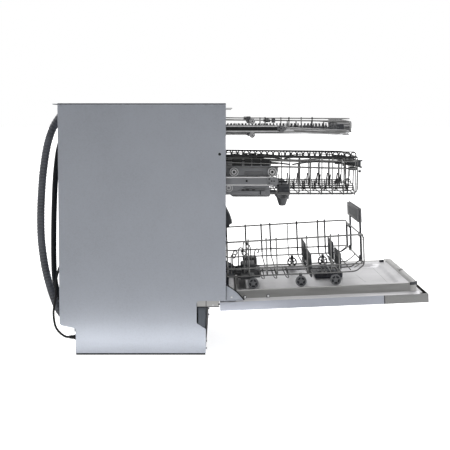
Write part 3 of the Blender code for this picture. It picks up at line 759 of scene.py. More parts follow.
for s in (-1, 1):
    b.box(min(s * 299.3, s * 297.2), max(s * 299.3, s * 297.2), -269.4, 269.4, 811.4, 813.6)
b.box(-289, 289, 263, 286.6, 810.6, 811.5, 0.2)
b.done("top_sheet", GALV, "cabinet", "galvanised", 30, ("top_panel",), [GALV, BLACK])
b = Build()
sheet(rrect(-295, 295, 74, 811, 3), [], 221, 222.6, lambda x, z, h: (x, h, z), b)
for z in (160, 330, 500, 670):
    b.box(-262 + 40, 262 - 40, 222.4, 225.2, z, z + 10, 1.2)
b.box(-295, 295, 217, 221, 803, 811, 0.5)
for x in (-284, 284):
    for z in (110, 300, 500, 700, 790):
        screw(b, (x, 222.4, z), (0, 1, 0), 3.6, 2.0)
b.done("rear_sheet", GALV, "cabinet", "galvanised", 30, ("rear_panel",))
b = Build()
for x, z, r in ((-215, 106, 13), (-150, 112, 10)):
    b.ring([(r, 222.6), (r + 7, 222.6), (r + 6.4, 225), (r, 225.6)], (x, 0, z), "Y", 32)
b.done("hose_grommets", BLACK, "cabinet", "black_plastic")
b = Build()
# a thin black strip along the front edge of each side panel
for s in (-1, 1):
    b.box(min(s * 298.6, s * 293), max(s * 298.6, s * 293), -271.2, -269.7, 180, 262, 0)
b.done("front_edge_dark_strips", BLACK, "cabinet", "black_plastic")
b = Build()
b.box(-280, -200, -290, -264, 798.5, 800, 0.3)
b.box(200, 280, -290, -264, 798.5, 800, 0.3)
b.box(-280, 280, -266, -262.6, 798.5, 800, 0.3)
b.box(-280, 280, -264, -262.4, 799, 811, 0.3)
b.done("worktop_tabs", STAINLESS, "cabinet", "stainless", 30, ("worktop_strip",), [DARK])

# ---- toe-kick notch: strip, plinth and screws ----------------------------------------
b = Build()
b.box(-296.5, 296.5, -247, -203, 157.5, 159.2, 0.3)
b.box(-296.5, -294.6, -248.5, -176, 158, 176, 0.3)
b.box(294.6, 296.5, -248.5, -176, 158, 176, 0.3)
b.use(1)
for s in (-1, 1):
    b.box(min(s * 296.8, s * 296), max(s * 296.8, s * 296), -206.6, -204.4, 158, 176)
    b.box(min(s * 296.8, s * 295), max(s * 296.8, s * 295), -250, -244.5, 163, 168.5, 0.5)
    b.box(min(s * 296.4, s * 294), max(s * 296.4, s * 294), -249, -176, 155.4, 158)
b.use(2)
for s in (-1, 1):
    screw(b, (s * 296.5, -228, 163), (s, 0, 0), 3.4, 1.8)
b.done("notch_strip", STAINLESS, "cabinet", "stainless", 35, (), [STAINLESS, BLACK, CHROME])
b = Build()
b.box(-296, 296, -202, -179, 88, 155, 2.0, seg=2)
for s in (-1, 1):
    b.box(min(s * 297.2, s * 294), max(s * 297.2, s * 294), -200, -180, 92, 150, 1.2)
    b.box(min(s * 298.4, s * 296), max(s * 298.4, s * 296), -204, -198, 140, 149, 1.5)
for k in range(12):
    b.box(-270 + 45 * k, -262 + 45 * k, -203.4, -201, 96, 148, 0.8)
b.done("plinth_moulding", make_plastic("plinth_plastic", (0.115, 0.13, 0.15)), "cabinet", "dark_plastic", 35, ("plinth_panel",))
b = Build()
for s in (-1, 1):
    for z in (62, 45, 22):
        screw(b, (s * 296.4, -204.4, z), (0, -1, 0), 3.0, 4.4)
b.done("base_screws", GREY, "cabinet", "grey_plastic")

# ---- door: outer sheet and fascia -----------------------------------------------------
def pan(b, x, u0, u1, v0, v1, t, r, open_end=None, holes=()):
    """A shallow sheet tray: face at v0, flanges up to v1, rounded outer bends."""
    prof = []
    sec = [(-x, v1), (-x, v0 + r), (-x + r * 0.3, v0 + r * 0.3), (-x + r, v0), (x - r, v0), (x - r * 0.3, v0 + r * 0.3), (x, v0 + r), (x, v1),
           (x - t, v1), (x - t, v0 + r + 0.2), (x - r, v0 + t), (-x + r, v0 + t), (-x + t, v0 + r + 0.2), (-x + t, v1)]
    n = len(sec)
    v = [door(p[0], u, p[1]) for u in (u0, u1) for p in sec]
    f = [(i, (i + 1) % n, n + (i + 1) % n, n + i) for i in range(n)]
    f += [(0, 1, 12, 13), (1, 2, 11, 12), (2, 3, 10, 11), (3, 4, 10), (4, 9, 10), (4, 5, 9), (5, 8, 9), (5, 6, 8), (6, 7, 8)] if False else []
    bm = bmesh.new()
    bv = [bm.verts.new(p) for p in v]
    for q in f:
        bm.faces.new([bv[i] for i in q])
    # end caps as quads along the section
    left = [0, 1, 2, 3, 4, 5, 6, 7]
    right = [13, 12, 11, 11, 10, 9, 8, 8]
    inner = [13, 12, 12, 11, 10, 9, 9, 8]
    for off, flip in ((0, False), (n, True)):
        cap = [off + i for i in range(n)]
        face = bm.faces.new([bv[i] for i in (cap if flip else cap[::-1])])
    bmesh.ops.triangulate(bm, faces=[fa for fa in bm.faces if len(fa.verts) > 4])
    bmesh.ops.recalc_face_normals(bm, faces=bm.faces)
    b.take(bm)


XD = 298.0
b = Build()
pan(b, XD, -27, 505.5, DOOR_OUT, DOOR_IN, 1.6, 2.4)
b.box(-XD + 1.4, XD - 1.4, -27, -25.4, DOOR_OUT + 1, DOOR_IN, 0.3, to=door)
# chrome strips on the tops of the side flanges: painted highlight along the lit flange edges
b.use(1)
for s in (-1, 1):
    b.box(min(s * 297.6, s * 291), max(s * 297.6, s * 291), -25, 505.4, DOOR_IN - 0.3, DOOR_IN + 0.35, 0.1, to=door)
b.done("door_outer_sheet", PAINT, "door", "door_paint", 30, ("door_outer_panel",), [PAINT, CHROME])

b = Build()
bm = bmesh.new()
# front face with two button openings, then the flanges round it
def face_with_holes(b, x0, x1, u0, u1, va, vb, squares):
    outer = [(x0, u0), (x1, u0), (x1, u1), (x0, u1)]
    sheet(outer, [[(cx - h, cu - h), (cx - h, cu + h), (cx + h, cu + h), (cx + h, cu - h)] for cx, cu, h in squares], va, vb, lambda x, u, h: door(x, u, h), b)


bm.free()
face_with_holes(b, -XD + 1.8, XD - 1.8, 507.5, DOOR_END - 1.6, DOOR_OUT, DOOR_OUT + 2, [(-220, 590, 9.0), (220, 590, 9.0)])
for s in (-1, 1):
    sec = [(s * (XD - 2), DOOR_OUT + 0.1), (s * (XD - 0.7), DOOR_OUT + 0.8), (s * XD, DOOR_OUT + 2.2), (s * XD, DOOR_IN), (s * (XD - 2), DOOR_IN)]
    pts = [door(p[0], u, p[1]) for u in (507.5, DOOR_END - 0.6) for p in sec]
    m = len(sec)
    bm = bmesh.new()
    bv = [bm.verts.new(p) for p in pts]
    for i in range(m):
        j = (i + 1) % m
        bm.faces.new([bv[k] for k in (i, j, m + j, m + i)])
    bm.faces.new(bv[:m])
    bm.faces.new(bv[m:])
    bmesh.ops.recalc_face_normals(bm, faces=bm.faces)
    b.take(bm)
b.box(-XD + 0.6, XD - 0.6, DOOR_END - 2, DOOR_END, DOOR_OUT + 0.4, DOOR_IN, 0.7, to=door, seg=2)
b.box(-XD + 1.8, XD - 1.8, 507.5, 509.2, DOOR_OUT + 0.3, DOOR_IN, 0.2, to=door)
b.use(1)
b.box(-95, 95, 566, 606, DOOR_OUT - 0.35, DOOR_OUT + 0.6, 0.25, to=door)
# chrome strips on the tops of the fascia's side flanges: painted highlight along the lit flange edges
b.use(2)
for s in (-1, 1):
    b.box(min(s * 297, s * 292), max(s * 297, s * 292), 507.6, DOOR_END - 1, DOOR_IN - 0.3, DOOR_IN + 0.3, 0.1, to=door)
b.done("fascia_brushed", BRUSHED, "door", "brushed", 30, ("control_fascia",), [BRUSHED, LABEL, CHROME])
b = Build()
b.box(-XD + 0.5, XD - 0.5, 505.4, 507.6, DOOR_OUT + 1.4, DOOR_IN - 0.4, 0.2, to=door)
b.done("door_seam_gasket", BLACK, "door", "black_plastic")
for name, x in (("power_button", -220), ("start_button", 220)):
    b = Build()
    b.box(x - 8.4, x + 8.4, 581.6, 598.4, -22, -10.5, 1.2, to=door, seg=3)
    b.use(1)
    if name == "power_button":
        b.ring([(3.2, -22.3), (4.4, -22.3), (4.4, -21.8), (3.2, -21.8)], (0, 0, 0), "Z", 28, to=lambda a, c, h, x=x: door(x + a, 590 + c, h))
    else:
        pts = [(x - 3, 586), (x - 3, 594), (x + 4, 590)]
        b.prism(pts, -22.3, -21.8, "Z", 0, to=door)
    b.done(name + "_cap", CHROME, name, "chrome", 35, (name,), [CHROME, LABEL])

# ---- door: pressed inner panel ---------------------------------------------------------
def loop_points(x, u0, u1, r_near, r_far, n=7):
    """Rounded rectangle of the door, corners at the free end rounder."""
    P = []
    def arc(cx, cu, r, a0, a1):
        for i in range(n + 1):
            a = math.radians(a0 + (a1 - a0) * i / n)
            P.append((cx + r * math.cos(a), cu + r * math.sin(a)))
    arc(x - r_near, u0 + r_near, r_near, -90, 0)
    arc(x - r_far, u1 - r_far, r_far, 0, 90)
    arc(-x + r_far, u1 - r_far, r_far, 90, 180)
    arc(-x + r_near, u0 + r_near, r_near, 180, 270)
    return P


b = Build()
IN = [
    # half width, u of the hinge end, u of the free end, v, near radius, far radius
    (287.5, 4, 634, 7.8, 3, 14), (287.5, 4, 634, 9.8, 3, 14), (284.0, 22.5, 619.5, 9.9, 6, 26), (283.0, 24, 618, 11.5, 6, 26),
    (282.6, 24.6, 617.4, 39.0, 7, 26), (281.4, 26.0, 616.0, 42.0, 8, 25), (279.2, 28.0, 613.5, 43.2, 9, 24),
    (277.0, 30.5, 610, 43.0, 10, 23), (273.0, 35.0, 603.5, 41.6, 12, 21), (271.0, 37.0, 600.0, 38.6, 12, 20), (269.5, 38.5, 597.5, 37.7, 12, 19),
    (232.0, 58, 572, 37.6, 16, 30), (228.0, 61.0, 569.0, 37.0, 18, 30), (224.0, 66.0, 564.0, 31.5, 20, 30), (221.0, 70.0, 560.0, 26.8, 22, 30), (217.5, 73.5, 556, 26.05, 24, 30),
    (150, 130, 500, 26.0, 20, 30),
]
rings = [loop_points(x, u0, u1, rn, rf) for x, u0, u1, v, rn, rf in IN]
verts = []
for (x, u0, u1, v, rn, rf), ring in zip(IN, rings):
    for px, pu in ring:
        h = v
        if v > 36.5 and pu > 560 and abs(px) < 287:
            h = v + (4.6 if 596 < pu < 617 and v > 38 else 0.0)
        verts.append(door(px, pu, h))
m = len(rings[0])
faces = []
for k in range(len(rings) - 1):
    for i in range(m):
        j = (i + 1) % m
        faces.append((k * m + i, k * m + j, (k + 1) * m + j, (k + 1) * m + i))
o = (len(rings) - 1) * m
verts.append(door(0, 315, 26.0))
for i in range(m):
    faces.append((o + i, o + (i + 1) % m, len(verts) - 1))
b.add(verts, faces)
bot = [door(px, pu, 6.9) for px, pu in loop_points(286.5, 5, 633, 3, 14)]
b.add(bot, [tuple(range(len(bot)))[::-1]])
inner = b.done("inner_door_pressing", STAINLESS, "door", "stainless", 40, ("door_inner_panel",), [STAINLESS, STAINLESS_HIGHLIGHT])
# the flat up-facing faces of the field take the lighter stainless copy: painted highlight from the light above
for p in inner.data.polygons:
    c = p.center / MM
    v_c = (c - Vector((0, HINGE_Y, HINGE_Z))).dot(Vector((0, S, C)))
    if v_c < 38.2 and abs(c.x) < 271 and abs(p.normal.z) > 0.3:
        p.material_index = 1
# pressed beads and the crease across the field, in the lighter stainless copy as painted highlight
b = Build()
for s in (-1, 1):
    b.wire([(s * 196, 96, 25.2), (s * 196, 540, 25.2)], 2.0, 8, to=door)
b.wire([(-196, 540, 25.2), (196, 540, 25.2)], 2.0, 8, to=door)
b.wire([(-120, 470, 24.9), (150, 452, 24.9)], 1.9, 8, to=door)
b.done("door_pressed_beads", STAINLESS_HIGHLIGHT, "door", "stainless")
# screws, hinge fixings and free-end corner pieces
b = Build()
for x, u, v, d in ((-283.2, 55, 19, (-1, 0, 0)), (-283.2, 131, 20, (-1, 0, 0)), (283.2, 55, 19, (1, 0, 0)), (283.2, 131, 20, (1, 0, 0))):
    screw(b, door(x, u, v), d, 4.2, 2.2)
    rx = x - (0.4 if x < 0 else -0.4)
    b.use(1).ring([(4.4, -0.6), (6.2, -0.6), (6.2, 0.6), (4.4, 0.6)], (0, 0, 0), "X", 24, to=lambda a, c, h, x=x, u=u, v=v: door(x + a, u + c, v + h))
    b.use(0)
for s in (-1, 1):
    for u in (180, 330, 480, 590):
        screw(b, door(s * 285.3, u, 9.9), (0, S, C), 2.6, 1.4)
b.done("inner_door_screws", CHROME, "door", "chrome", 35, (), [CHROME, DARK])
b = Build()
# the side returns are a real flange strip, drawn in the lighter stainless copy as painted highlight on its lit top
for s in (-1, 1):
    side = [(s * 296.6, 7.5), (s * 296.6, 8.1), (s * 283.6, 15.6), (s * 283.6, 7.5)]
    b.prism(side, 26, 622, "Y", 0, to=lambda x, u, v: door(x, u, v))
b.done("door_side_returns", STAINLESS_HIGHLIGHT, "door", "stainless")
b = Build()
b.box(-298.5, 298.5, 505.2, 507.9, -20, 6.6, 0, to=door)
b.done("door_seam", BLACK, "door", "black_plastic")
b = Build()
for s in (-1, 1):
    pts = [(s * 262, 616.5), (s * 273, 608), (s * 281, 592), (s * 284.6, 594), (s * 283, 606), (s * 275, 617), (s * 264, 620.5)]
    b.prism(round2(pts, 3), 36, 45.4, "Z", 0.8, to=door)
b.box(257, 267, 573, 589, 37, 45.5, 1.2, to=door, seg=2)
b.use(1)
b.box(-22, 22, 599.5, 615, 44, 49.6, 1.2, to=door, seg=2)
b.box(-14, 14, 603, 611, 49.4, 50.4, 0.4, to=door)
b.done("door_corner_pieces", DARK, "door", "dark_plastic", 35, ("door_latch",), [DARK, STAINLESS])

# hinge side plates: a quarter of sheet with the seal's curve along its edge
for side, s in (("left", -1), ("right", 1)):
    arc = [(51.5, 10.5), (44, 19), (37, 28), (29.5, 36.5), (21, 44), (12, 51), (3, 57), (-4, 61.5), (-9.5, 65)]
    out = [(-10.5, 8.6), (53.6, 8.6)] + arc
    b = Build()
    x0, x1 = (288.4, 291) if s > 0 else (-291, -288.4)
    bm_out = [(u, v) for u, v in out]
    b.prism([(p[0], p[1]) for p in bm_out], x0, x1, "X", 0.4, to=lambda x, u, v: door(x, u, v))
    b.use(1).wire([(s * 289.7, u + 1.2, v + 0.8) for u, v in arc], 1.9, 8, 8, to=door)
    b.use(2)
    screw(b, door(s * 291, 12, 22), (s, 0, 0), 3.2, 1.2)
    b.done("hinge_plate_%s" % side, GALV, "door", "galvanised", 35, ("hinge_arm_%s" % side,), [GALV, RUBBER, CHROME])

# ---- dispenser ---------------------------------------------------------------------------
b = Build()
b.box(0, 196, 309, 405, 26.2, 43, 4, to=door, seg=3)
b.box(4, 192, 313, 401, 43, 45.8, 1.4, to=door, seg=2)
for k in range(7):
    b.box(126, 188, 316 + k * 3.4, 317.8 + k * 3.4, 45.4, 46.6, 0.5, to=door)
for k in range(8):
    b.box(-1.2, 1.2, 314 + k * 11.4, 318.6 + k * 11.4, 28.5, 43, 0.8, to=door)
    b.box(8 + k * 23.0, 13 + k * 23.0, 404, 406.2, 28.5, 43, 0.8, to=door)
b.ring([(19.4, 44.8), (22, 44.8), (22, 47.2), (19.4, 47.2)], (0, 0, 0), "Z", 36, to=lambda a, c, h: door(160 + a, 358 + c, h))
b.use(1)
b.box(12, 116, 322, 392, 44.0, 45.9, 1.0, to=door)
b.use(2)
for k in range(3):
    b.box(-1.6, -0.4, 312, 402, 31 + k * 4.6, 32.1 + k * 4.6, 0.3, to=door)
b.done("dispenser_body", BLUEGREY, "door", "dark_plastic", 35, ("detergent_dispenser",), [BLUEGREY, MIDGREY, GREY])
b = Build()
b.box(6, 122, 318, 398, 46.3, 50, 2.0, to=door, seg=3)
b.box(48, 80, 386, 398, 49.6, 54, 1.6, to=door, seg=3)
for k in range(5):
    b.box(14 + k * 20, 24 + k * 20, 326, 378, 49.8, 50.8, 0.5, to=door)
b.done("dispenser_flap", BLUEGREY, "dispenser_lid", "grey_plastic", 35, ("dispenser_lid",))
b = Build()
b.turned([(0, 36.4), (18, 36.4), (18, 46.6), (16.6, 48.6), (0, 48.6)], sides=36, to=lambda a, c, h: door(160 + a, 358 + c, h))
b.box(157, 163, 343, 373, 48.2, 49.4, 1.0, to=door)
b.done("rinse_cap_body", BLUEGREY, "rinse_aid_cap", "grey_plastic", 35, ("rinse_aid_cap",))

# ---- lower basket ------------------------------------------------------------------------
RW = 2.0


def rim_loop(x, u0, u1, r, hv, n=6):
    P = []
    def arc(cx, cu, a0, a1):
        for i in range(n + 1):
            a = math.radians(a0 + (a1 - a0) * i / n)
            px, pu = cx + r * math.cos(a), cu + r * math.sin(a)
            P.append((px, pu, hv(px, pu)))
    arc(x - r, u0 + r, -90, 0)
    arc(x - r, u1 - r, 0, 90)
    arc(-x + r, u1 - r, 90, 180)
    arc(-x + r, u0 + r, 180, 270)
    return P


def lower_rim(x, u):
    base = 195 + 8 * max(0, min(1, (u + 15) / 380))
    if u > 395 and abs(x) < 232:
        base -= 7 * min(1, (u - 395) / 45)
    return base


b = Build()
b.use(0).wire(rim_loop(246, -15, 452, 22, lower_rim), 2.7, 8, closed=True, to=door)
b.wire(rim_loop(246.5, -15, 452, 22, lambda x, u: 107.5), 2.5, 8, closed=True, to=door)
US = [3, 74, 133, 166, 266, 344, 370]
for u in US + [231, 408]:
    top = lower_rim(0, u)
    if u in (231,):
        b.use(1).wire([(243, u, top + 1), (243, u, 82), (-80, u, 82)], 1.7, 8, 12, to=door)
        continue
    if u == 408:
        b.use(1).wire([(-228, u, 86), (228, u, 86)], 1.7, 8, to=door)
        continue
    b.use(0).wire([(-244, u, top + 3.5), (-243.5, u, 92), (-232, u, 81.5), (0, u, 81.5)], 2.2, 8, 5, to=door, cap=True)
    b.use(1).wire([(0, u, 81.5), (232, u, 81.5), (243.5, u, 92), (244, u, top + 3.5)], 2.2, 8, 5, to=door)
    b.wire([(243.5, u, 97), (244, u, top + 3.5)], 2.8, 8, to=door)
    for s in (-1, 1):
        b.use(0 if s < 0 else 1).turned([(0, top + 2.4), (2.4, top + 3.2), (2.6, top + 5), (1.6, top + 6.6), (0, top + 7)], (s * 244, u, 0), "Z", 10, to=door)
# lengthwise wires: down the back, along the floor, up the front with a chamfer
for i, x in enumerate((-246, -118, 20, 246)):
    low = 78.8 if abs(x) < 240 else 82
    fr = 451.5
    tv = lower_rim(0, 449)
    # the far wires take the painted-shade copy of the wire
    k = 0 if x < -200 else 1
    b.use(k).wire([(x, -13, lower_rim(0, -15)), (x, -13, low + 12), (x, -1, low), (x, 380, low), (x, 424, low + 1.5), (x, fr, low + 22), (x, fr, tv if abs(x) > 200 else 107)],
                  2.3 if abs(x) > 200 else 1.7, 8, 9, to=door)
for x in (-205, 205):
    b.use(1 if x > -200 else 0).wire([(x, 424, 90), (x, 450, 106), (x, 450, 190)], 1.7, 8, 6, to=door)
b.use(1).wire([(-120, -14, 148), (120, -14, 148)], 1.7, 8, to=door)
# hooks and cup wires seen over the back half
def hook(b, x, u, v, s=1, k=0):
    b.use(k).wire([(x, u, 82), (x, u + 2 * s, v - 12), (x, u + 5 * s, v - 3), (x, u + 11 * s, v), (x, u + 17 * s, v - 4), (x, u + 16 * s, v - 12), (x, u + 10 * s, v - 15)], 2.0, 8, 4, to=door)


for x, u, v, s in ((-190, 14, 150, 1), (-196, 58, 150, 1), (-120, 20, 152, 1), (-120, 70, 150, -1), (-40, 40, 152, 1), (60, 88, 150, -1), (150, 60, 150, 1), (-60, 96, 148, 1)):
    hook(b, x, u, v, s)
for x in (-150, -90):
    for u in (108, 150, 190):
        b.use(0).wire([(x, u, 82), (x - 12, u + 9, 60), (x - 2, u + 18, 56), (x + 10, u + 13, 82)], 1.5, 6, 6, to=door)
for u in (200, 318, 330):
    b.use(0).wire([(-150, u, 84), (-142, u + 8, 70), (-120, u + 4, 66), (-96, u, 84)], 1.5, 6, 6, to=door)
b.use(2)
for s in (-1, 1):
    for u in (85, 243, 357):
        b.turned([(0, -9), (3.2, -9), (3.2, 2), (0, 2)] if s > 0 else [(0, -2), (3.2, -2), (3.2, 9), (0, 9)], (s * 228, u, 56), "X", 14, to=door)
        b.box(s * 223 - 3, s * 223 + 3, u - 5, u + 5, 50, 82, 1.6, to=door, seg=2)
# plate supports carried on under the floor wires
for u in (378, 280):
    for x0, x1 in ((-205, -28), (34, 205)):
        b.box(x0, x1, u - 2.4, u + 2.4, 63, 78, 0.7, to=door)
b.use(3)
b.box(-84, 60, 34, 116, 50, 77.5, 7, to=door, seg=3)
b.box(-70, 40, 48, 100, 77, 96, 7, to=door, seg=3)
b.box(150, 222, 60, 110, 60, 90, 6, to=door, seg=3)
b.box(-196, -84, 44, 92, 62, 77.5, 5, to=door, seg=3)
for k in range(4):
    b.box(-140 + k * 46, -132 + k * 46, 26, 104, 72, 79.5, 1.4, to=door)
    b.turned([(0, 66), (9, 66), (9, 84), (7, 92), (0, 96)], (-142 + k * 46, 60, 0), "Z", 16, to=door)
b.use(2)
# fin at the back rim
bm_pts = [(-14, 233), (6, 230), (25, 240), (18, 264), (5, 292), (-4, 292), (-14, 272)]
b.prism(bm_pts, -64, 64, "X", 1.2, to=lambda x, u, v: door(x, u, v))
for x in (-40, -10, 20, 50):
    b.box(x - 2, x + 2, -12, 15, 224, 262, 0.6, to=door)
b.use(0)
for x in (-226, 226):
    for v in (176, 183):
        b.turned([(0, -5), (3, -5), (3, 5), (0, 5)], (x, 454, v + 8), "X", 10, to=door)
b.done("lower_rack_wires", WIRE, "lower_basket", "wire", 45, ("lower_basket",), [WIRE, WIRE_PAINTED_SHADE, DARK, MIDGREY])

# grey front plate with a darker back and its straps
b = Build()
HP = rrect(-160, 160, 232, 281, 6, 3)
b.prism(HP, 453.2, 459, "Y", 1.4, seg=2, to=lambda x, u, v: door(x, u, v))
b.prism(rrect(-158, 158, 233.5, 279.5, 5, 3), 447, 452.2, "Y", 1.2, seg=2, to=lambda x, u, v: door(x, u, v))
b.box(-150, 150, 451, 454, 238, 276, 0.4, to=door)
b.use(1)
b.box(-118, 118, 446.4, 447.6, 243, 270, 0.4, to=door)
for s in (-1, 1):
    b.box(min(s * 150, s * 138), max(s * 150, s * 138), 452, 458, 118, 236, 1.6, to=door, seg=2)
    b.box(min(s * 153, s * 135), max(s * 153, s * 135), 448, 456.6, 186, 198, 1.6, to=door, seg=2)
    b.box(min(s * 153, s * 135), max(s * 153, s * 135), 448, 456.6, 102, 122, 1.6, to=door, seg=2)
b.done("lower_rack_grip", make_plastic("grip_grey", (0.245, 0.246, 0.255)), "lower_basket", "grey_plastic", 35, ("lower_handle",), [bpy.data.materials["grip_grey"], DARK])

# folding tine rows: two scalloped plates on a rod
for name, u0 in (("tine_row_front", 378), ("tine_row_rear", 280)):
    b = Build()
    for x0, x1, top in ((-205, -28, 139), (34, 205, 147)):
        n = 6
        pts = [(x0, 84.6)]
        pts.append((x0, top - 3))
        w = (x1 - x0) / n
        for k in range(n):
            a = x0 + w * k
            pts += [(a + w * 0.12, top), (a + w * 0.40, top), (a + w * 0.5, top - 15), (a + w * 0.56, top - 15), (a + w * 0.66, top)]
        pts += [(x1, top - 3), (x1, 84.6)]
        b.prism(pts, u0 - 2.6, u0 + 2.6, "Y", 0.7, to=lambda x, u, v: door(x, u, v))
        for k in range(n):
            a = x0 + w * (k + 0.25)
            b.box(a - 2, a + 2, u0 - 3.6, u0 + 3.6, 88, top - 18, 0.8, to=door)
    b.use(1).wire([(-206, u0, 87.6), (206, u0, 87.6)], 2.2, 10, to=door)
    b.done(name + "_plates", DARK, name, "dark_plastic", 35, (name,), [DARK, WIRE])

# wheels: tyre, hub and five spokes
for side, s in (("left", -1), ("right", 1)):
    for i, u in enumerate((85, 243, 357), 1):
        at = Vector((s * 234, u, 56))
        b = Build()
        to = lambda x, a, c, at=at: door(at.x + x, at.y + a, at.z + c)
        b.ring([(13.6, -4.6), (17.2, -5.4), (18, -4.4), (18, 4.4), (17.2, 5.4), (13.6, 4.6)], (0, 0, 0), "X", 36, to=to)
        b.ring([(3.0, -5.5), (6.4, -5.5), (7.0, -4.6), (7.0, 4.6), (6.4, 5.5), (3.0, 5.5)], (0, 0, 0), "X", 24, to=to)
        for k in range(5):
            a = 2 * math.pi * k / 5 + 0.3
            ca, sa = math.cos(a), math.sin(a)
            b.box(-3.2, 3.2, 6, 14.4, -1.7, 1.7, 0.5, to=lambda x, p, q, ca=ca, sa=sa, to=to: to(x, p * ca - q * sa, p * sa + q * ca))
        b.turned([(0, -5.0), (3.4, -5.0), (3.4, 5.0), (0, 5.0)], (0, 0, 0), "X", 20, to=to)
        # a dark disc behind the spokes of the near wheels: painted shade in the gaps between them
        if s < 0:
            b.use(1).turned([(6, 0.4), (14, 0.4), (14, 2.0), (6, 2.0)], (0, 0, 0), "X", 30, to=to)
        # near wheels grey, far wheels black: the far ones are a painted-shade copy of the same wheel
        b.done("wheel_%s_%d_spoked" % (side, i), ROLLER if s < 0 else BLACK, "wheel_%s_%d" % (side, i), "dark_plastic", 35, ("wheel_%s_%d" % (side, i),),
               [RACK_GREY if s < 0 else BLACK, DARK])

# ---- upper basket -------------------------------------------------------------------------
UX = 245.0
Y0, Y1 = -700.0, -254.0


def upper_loop(x, z, inset=0, r=26):
    return [(p[0], p[1], z if callable(z) is False else z(p[1])) for p in rim_loop(x - inset, Y0 + inset, Y1, r, lambda a, c: 0)]


def sag(y, hi, lo):
    """A rim that dips to its joint a third of the way back and rises again."""
    t = abs(y + 476) / 220
    return lo + (hi - lo) * min(1, t) ** 1.2


b = Build()
DROP = lambda y: (y - Y1) * 0.0205
side_loop = lambda x, z, dz=1.0, far=0.0, r=20: [(p[0], p[1], z + DROP(p[1]) * dz + far * (p[0] + x) / (2 * x)) for p in rim_loop(x, Y0, Y1, r, lambda a, c: 0)]
# slot 1 is the painted-shade copy of the wire, put on the wires that lie in shade
b.use(1).wire(side_loop(UX, 643.5, 0.5, 5), 2.7, 8, closed=True)
b.use(0).wire(side_loop(UX + 0.6, 637, 1.2, -9), 2.4, 8, closed=True)
b.use(0).wire(side_loop(UX + 0.4, 614, 1.25), 2.8, 8, closed=True)
for s in (-1, 1):
    for ya, yb, za, zm, zb in ((-262, -478, 629, 627, 616.5), (-486, -698, 616, 625.5, 611)):
        pts = []
        for k in range(17):
            t = k / 16
            z = (1 - t) ** 2 * za + 2 * t * (1 - t) * (2 * zm - (za + zb) / 2) + t * t * zb
            pts.append((s * (UX - 2), ya + (yb - ya) * t, z))
        b.use(1).wire(pts, 2.5, 8, 0)
    for ya, yb, za, zm, zb in ((-262, -478, 639, 636, 627), (-486, -698, 627, 634.5, 628)):
        pts = []
        for k in range(17):
            t = k / 16
            z = (1 - t) ** 2 * za + 2 * t * (1 - t) * (2 * zm - (za + zb) / 2) + t * t * zb
            pts.append((s * (UX - 1), ya + (yb - ya) * t, z))
        b.use(0).wire(pts, 1.8, 8, 0)
# the row of small arches along both rims, with a thin wire over them
pts, y = [], -694.0
while y < -262:
    for q in range(9):
        a = math.pi * q / 8
        pts.append((-243.5, y + 8.4 - 8.4 * math.cos(a), 645.5 + 17.0 * math.sin(a) ** 0.4 + DROP(y) * 0.75))
    y += 19.4
b.use(1).wire(pts, 2.0, 8, 0)
b.wire([(-236, y, 664 + DROP(y) * 0.75) for y in range(-690, -259, 20)], 1.4, 6, 0)
for s in (-1, 1):
    b.use(1).wire([(s * 236, y, 648 + DROP(y) * 0.75) for y in range(-690, -259, 20)], 1.8, 6, 0)
UY = [-692, -655, -618, -583, -546, -508, -478]
for y in UY:
    b.use(0).wire([(-UX, y, 640), (-UX + 0.5, y, 530), (-UX + 14, y, 520), (0, y, 520)], 1.8, 8, 7)
    b.use(1).wire([(0, y, 520), (UX - 14, y, 520), (UX - 0.5, y, 530), (UX, y, 640)], 1.8, 8, 7)
    b.use(1).turned([(0, -4.4), (2.2, -3.4), (2.4, 0), (0, 0.8)], (-UX + 12, y, 520.5), "Z", 8)
for y in (-439, -402, -365, -328, -291, -262):
    b.use(0).wire([(-UX + 10, y, 531), (-UX + 26, y, 520), (0, y, 520)], 1.8, 8, 7)
    b.use(1).wire([(0, y, 520), (UX - 26, y, 520), (UX - 10, y, 531)], 1.8, 8, 7)
for y in (-676, -640, -604, -568, -531):
    b.use(1).wire([(-120, y, 560), (-118, y, 523), (120, y, 523), (122, y, 606)], 1.5, 8, 7)
for i, x in enumerate((-238, -130, 0, 130, 238)):
    k = 0 if x < -200 else 1
    b.use(k).wire([(x, Y1 + 1, 636), (x, Y1 + 1, 524), (x, Y1 - 8, 522.5), (x, Y0 + 22, 522.5), (x, Y0 + 2, 524), (x, Y0 - 0.2, 636)], 1.8, 8, 11)
b.use(0).wire([(-UX + 3, Y1, 519.6), (-UX + 3, Y0 + 14, 519.6), (-UX + 3, Y0 + 0.5, 530), (-UX + 3, Y0 + 0.5, 600)], 1.8, 8, 10)
# low tine bars across the floor with rows of spikes
for x in (-206, 40, 150):
    b.use(1).wire([(x, -300, 545), (x, -690, 545)], 1.8, 8)
    b.use(1).wire([(x + 14, -470, 538), (x + 14, -690, 538)], 1.6, 8)
    y = -492.0
    while y > -680:
        b.use(1).wire([(x, y, 532), (x, y - 1, 552), (x - 5, y - 3, 569)], 2.3, 6, 3)
        b.use(1).wire([(x, y - 18, 545), (x + 6, y - 20, 534), (x + 12, y - 22, 524)], 1.7, 6, 3)
        y -= 36
    y = -310.0
    while y > -470:
        b.use(1).wire([(x, y, 522), (x, y - 1, 570)], 1.6, 6)
        y -= 36
b.use(0)
for y, r in ((-664, 9), (-672, 9)):
    P = [(-150, y - 8 + r * math.cos(a / 12 * 2 * math.pi), 545 + 9 + r * math.sin(a / 12 * 2 * math.pi)) for a in range(12)]
    b.wire(P, 1.5, 6, closed=True)
b.wire([(-200, -640, 548), (-200, -652, 560), (-200, -676, 560), (-200, -690, 548), (-200, -690, 528)], 1.7, 8, 8)
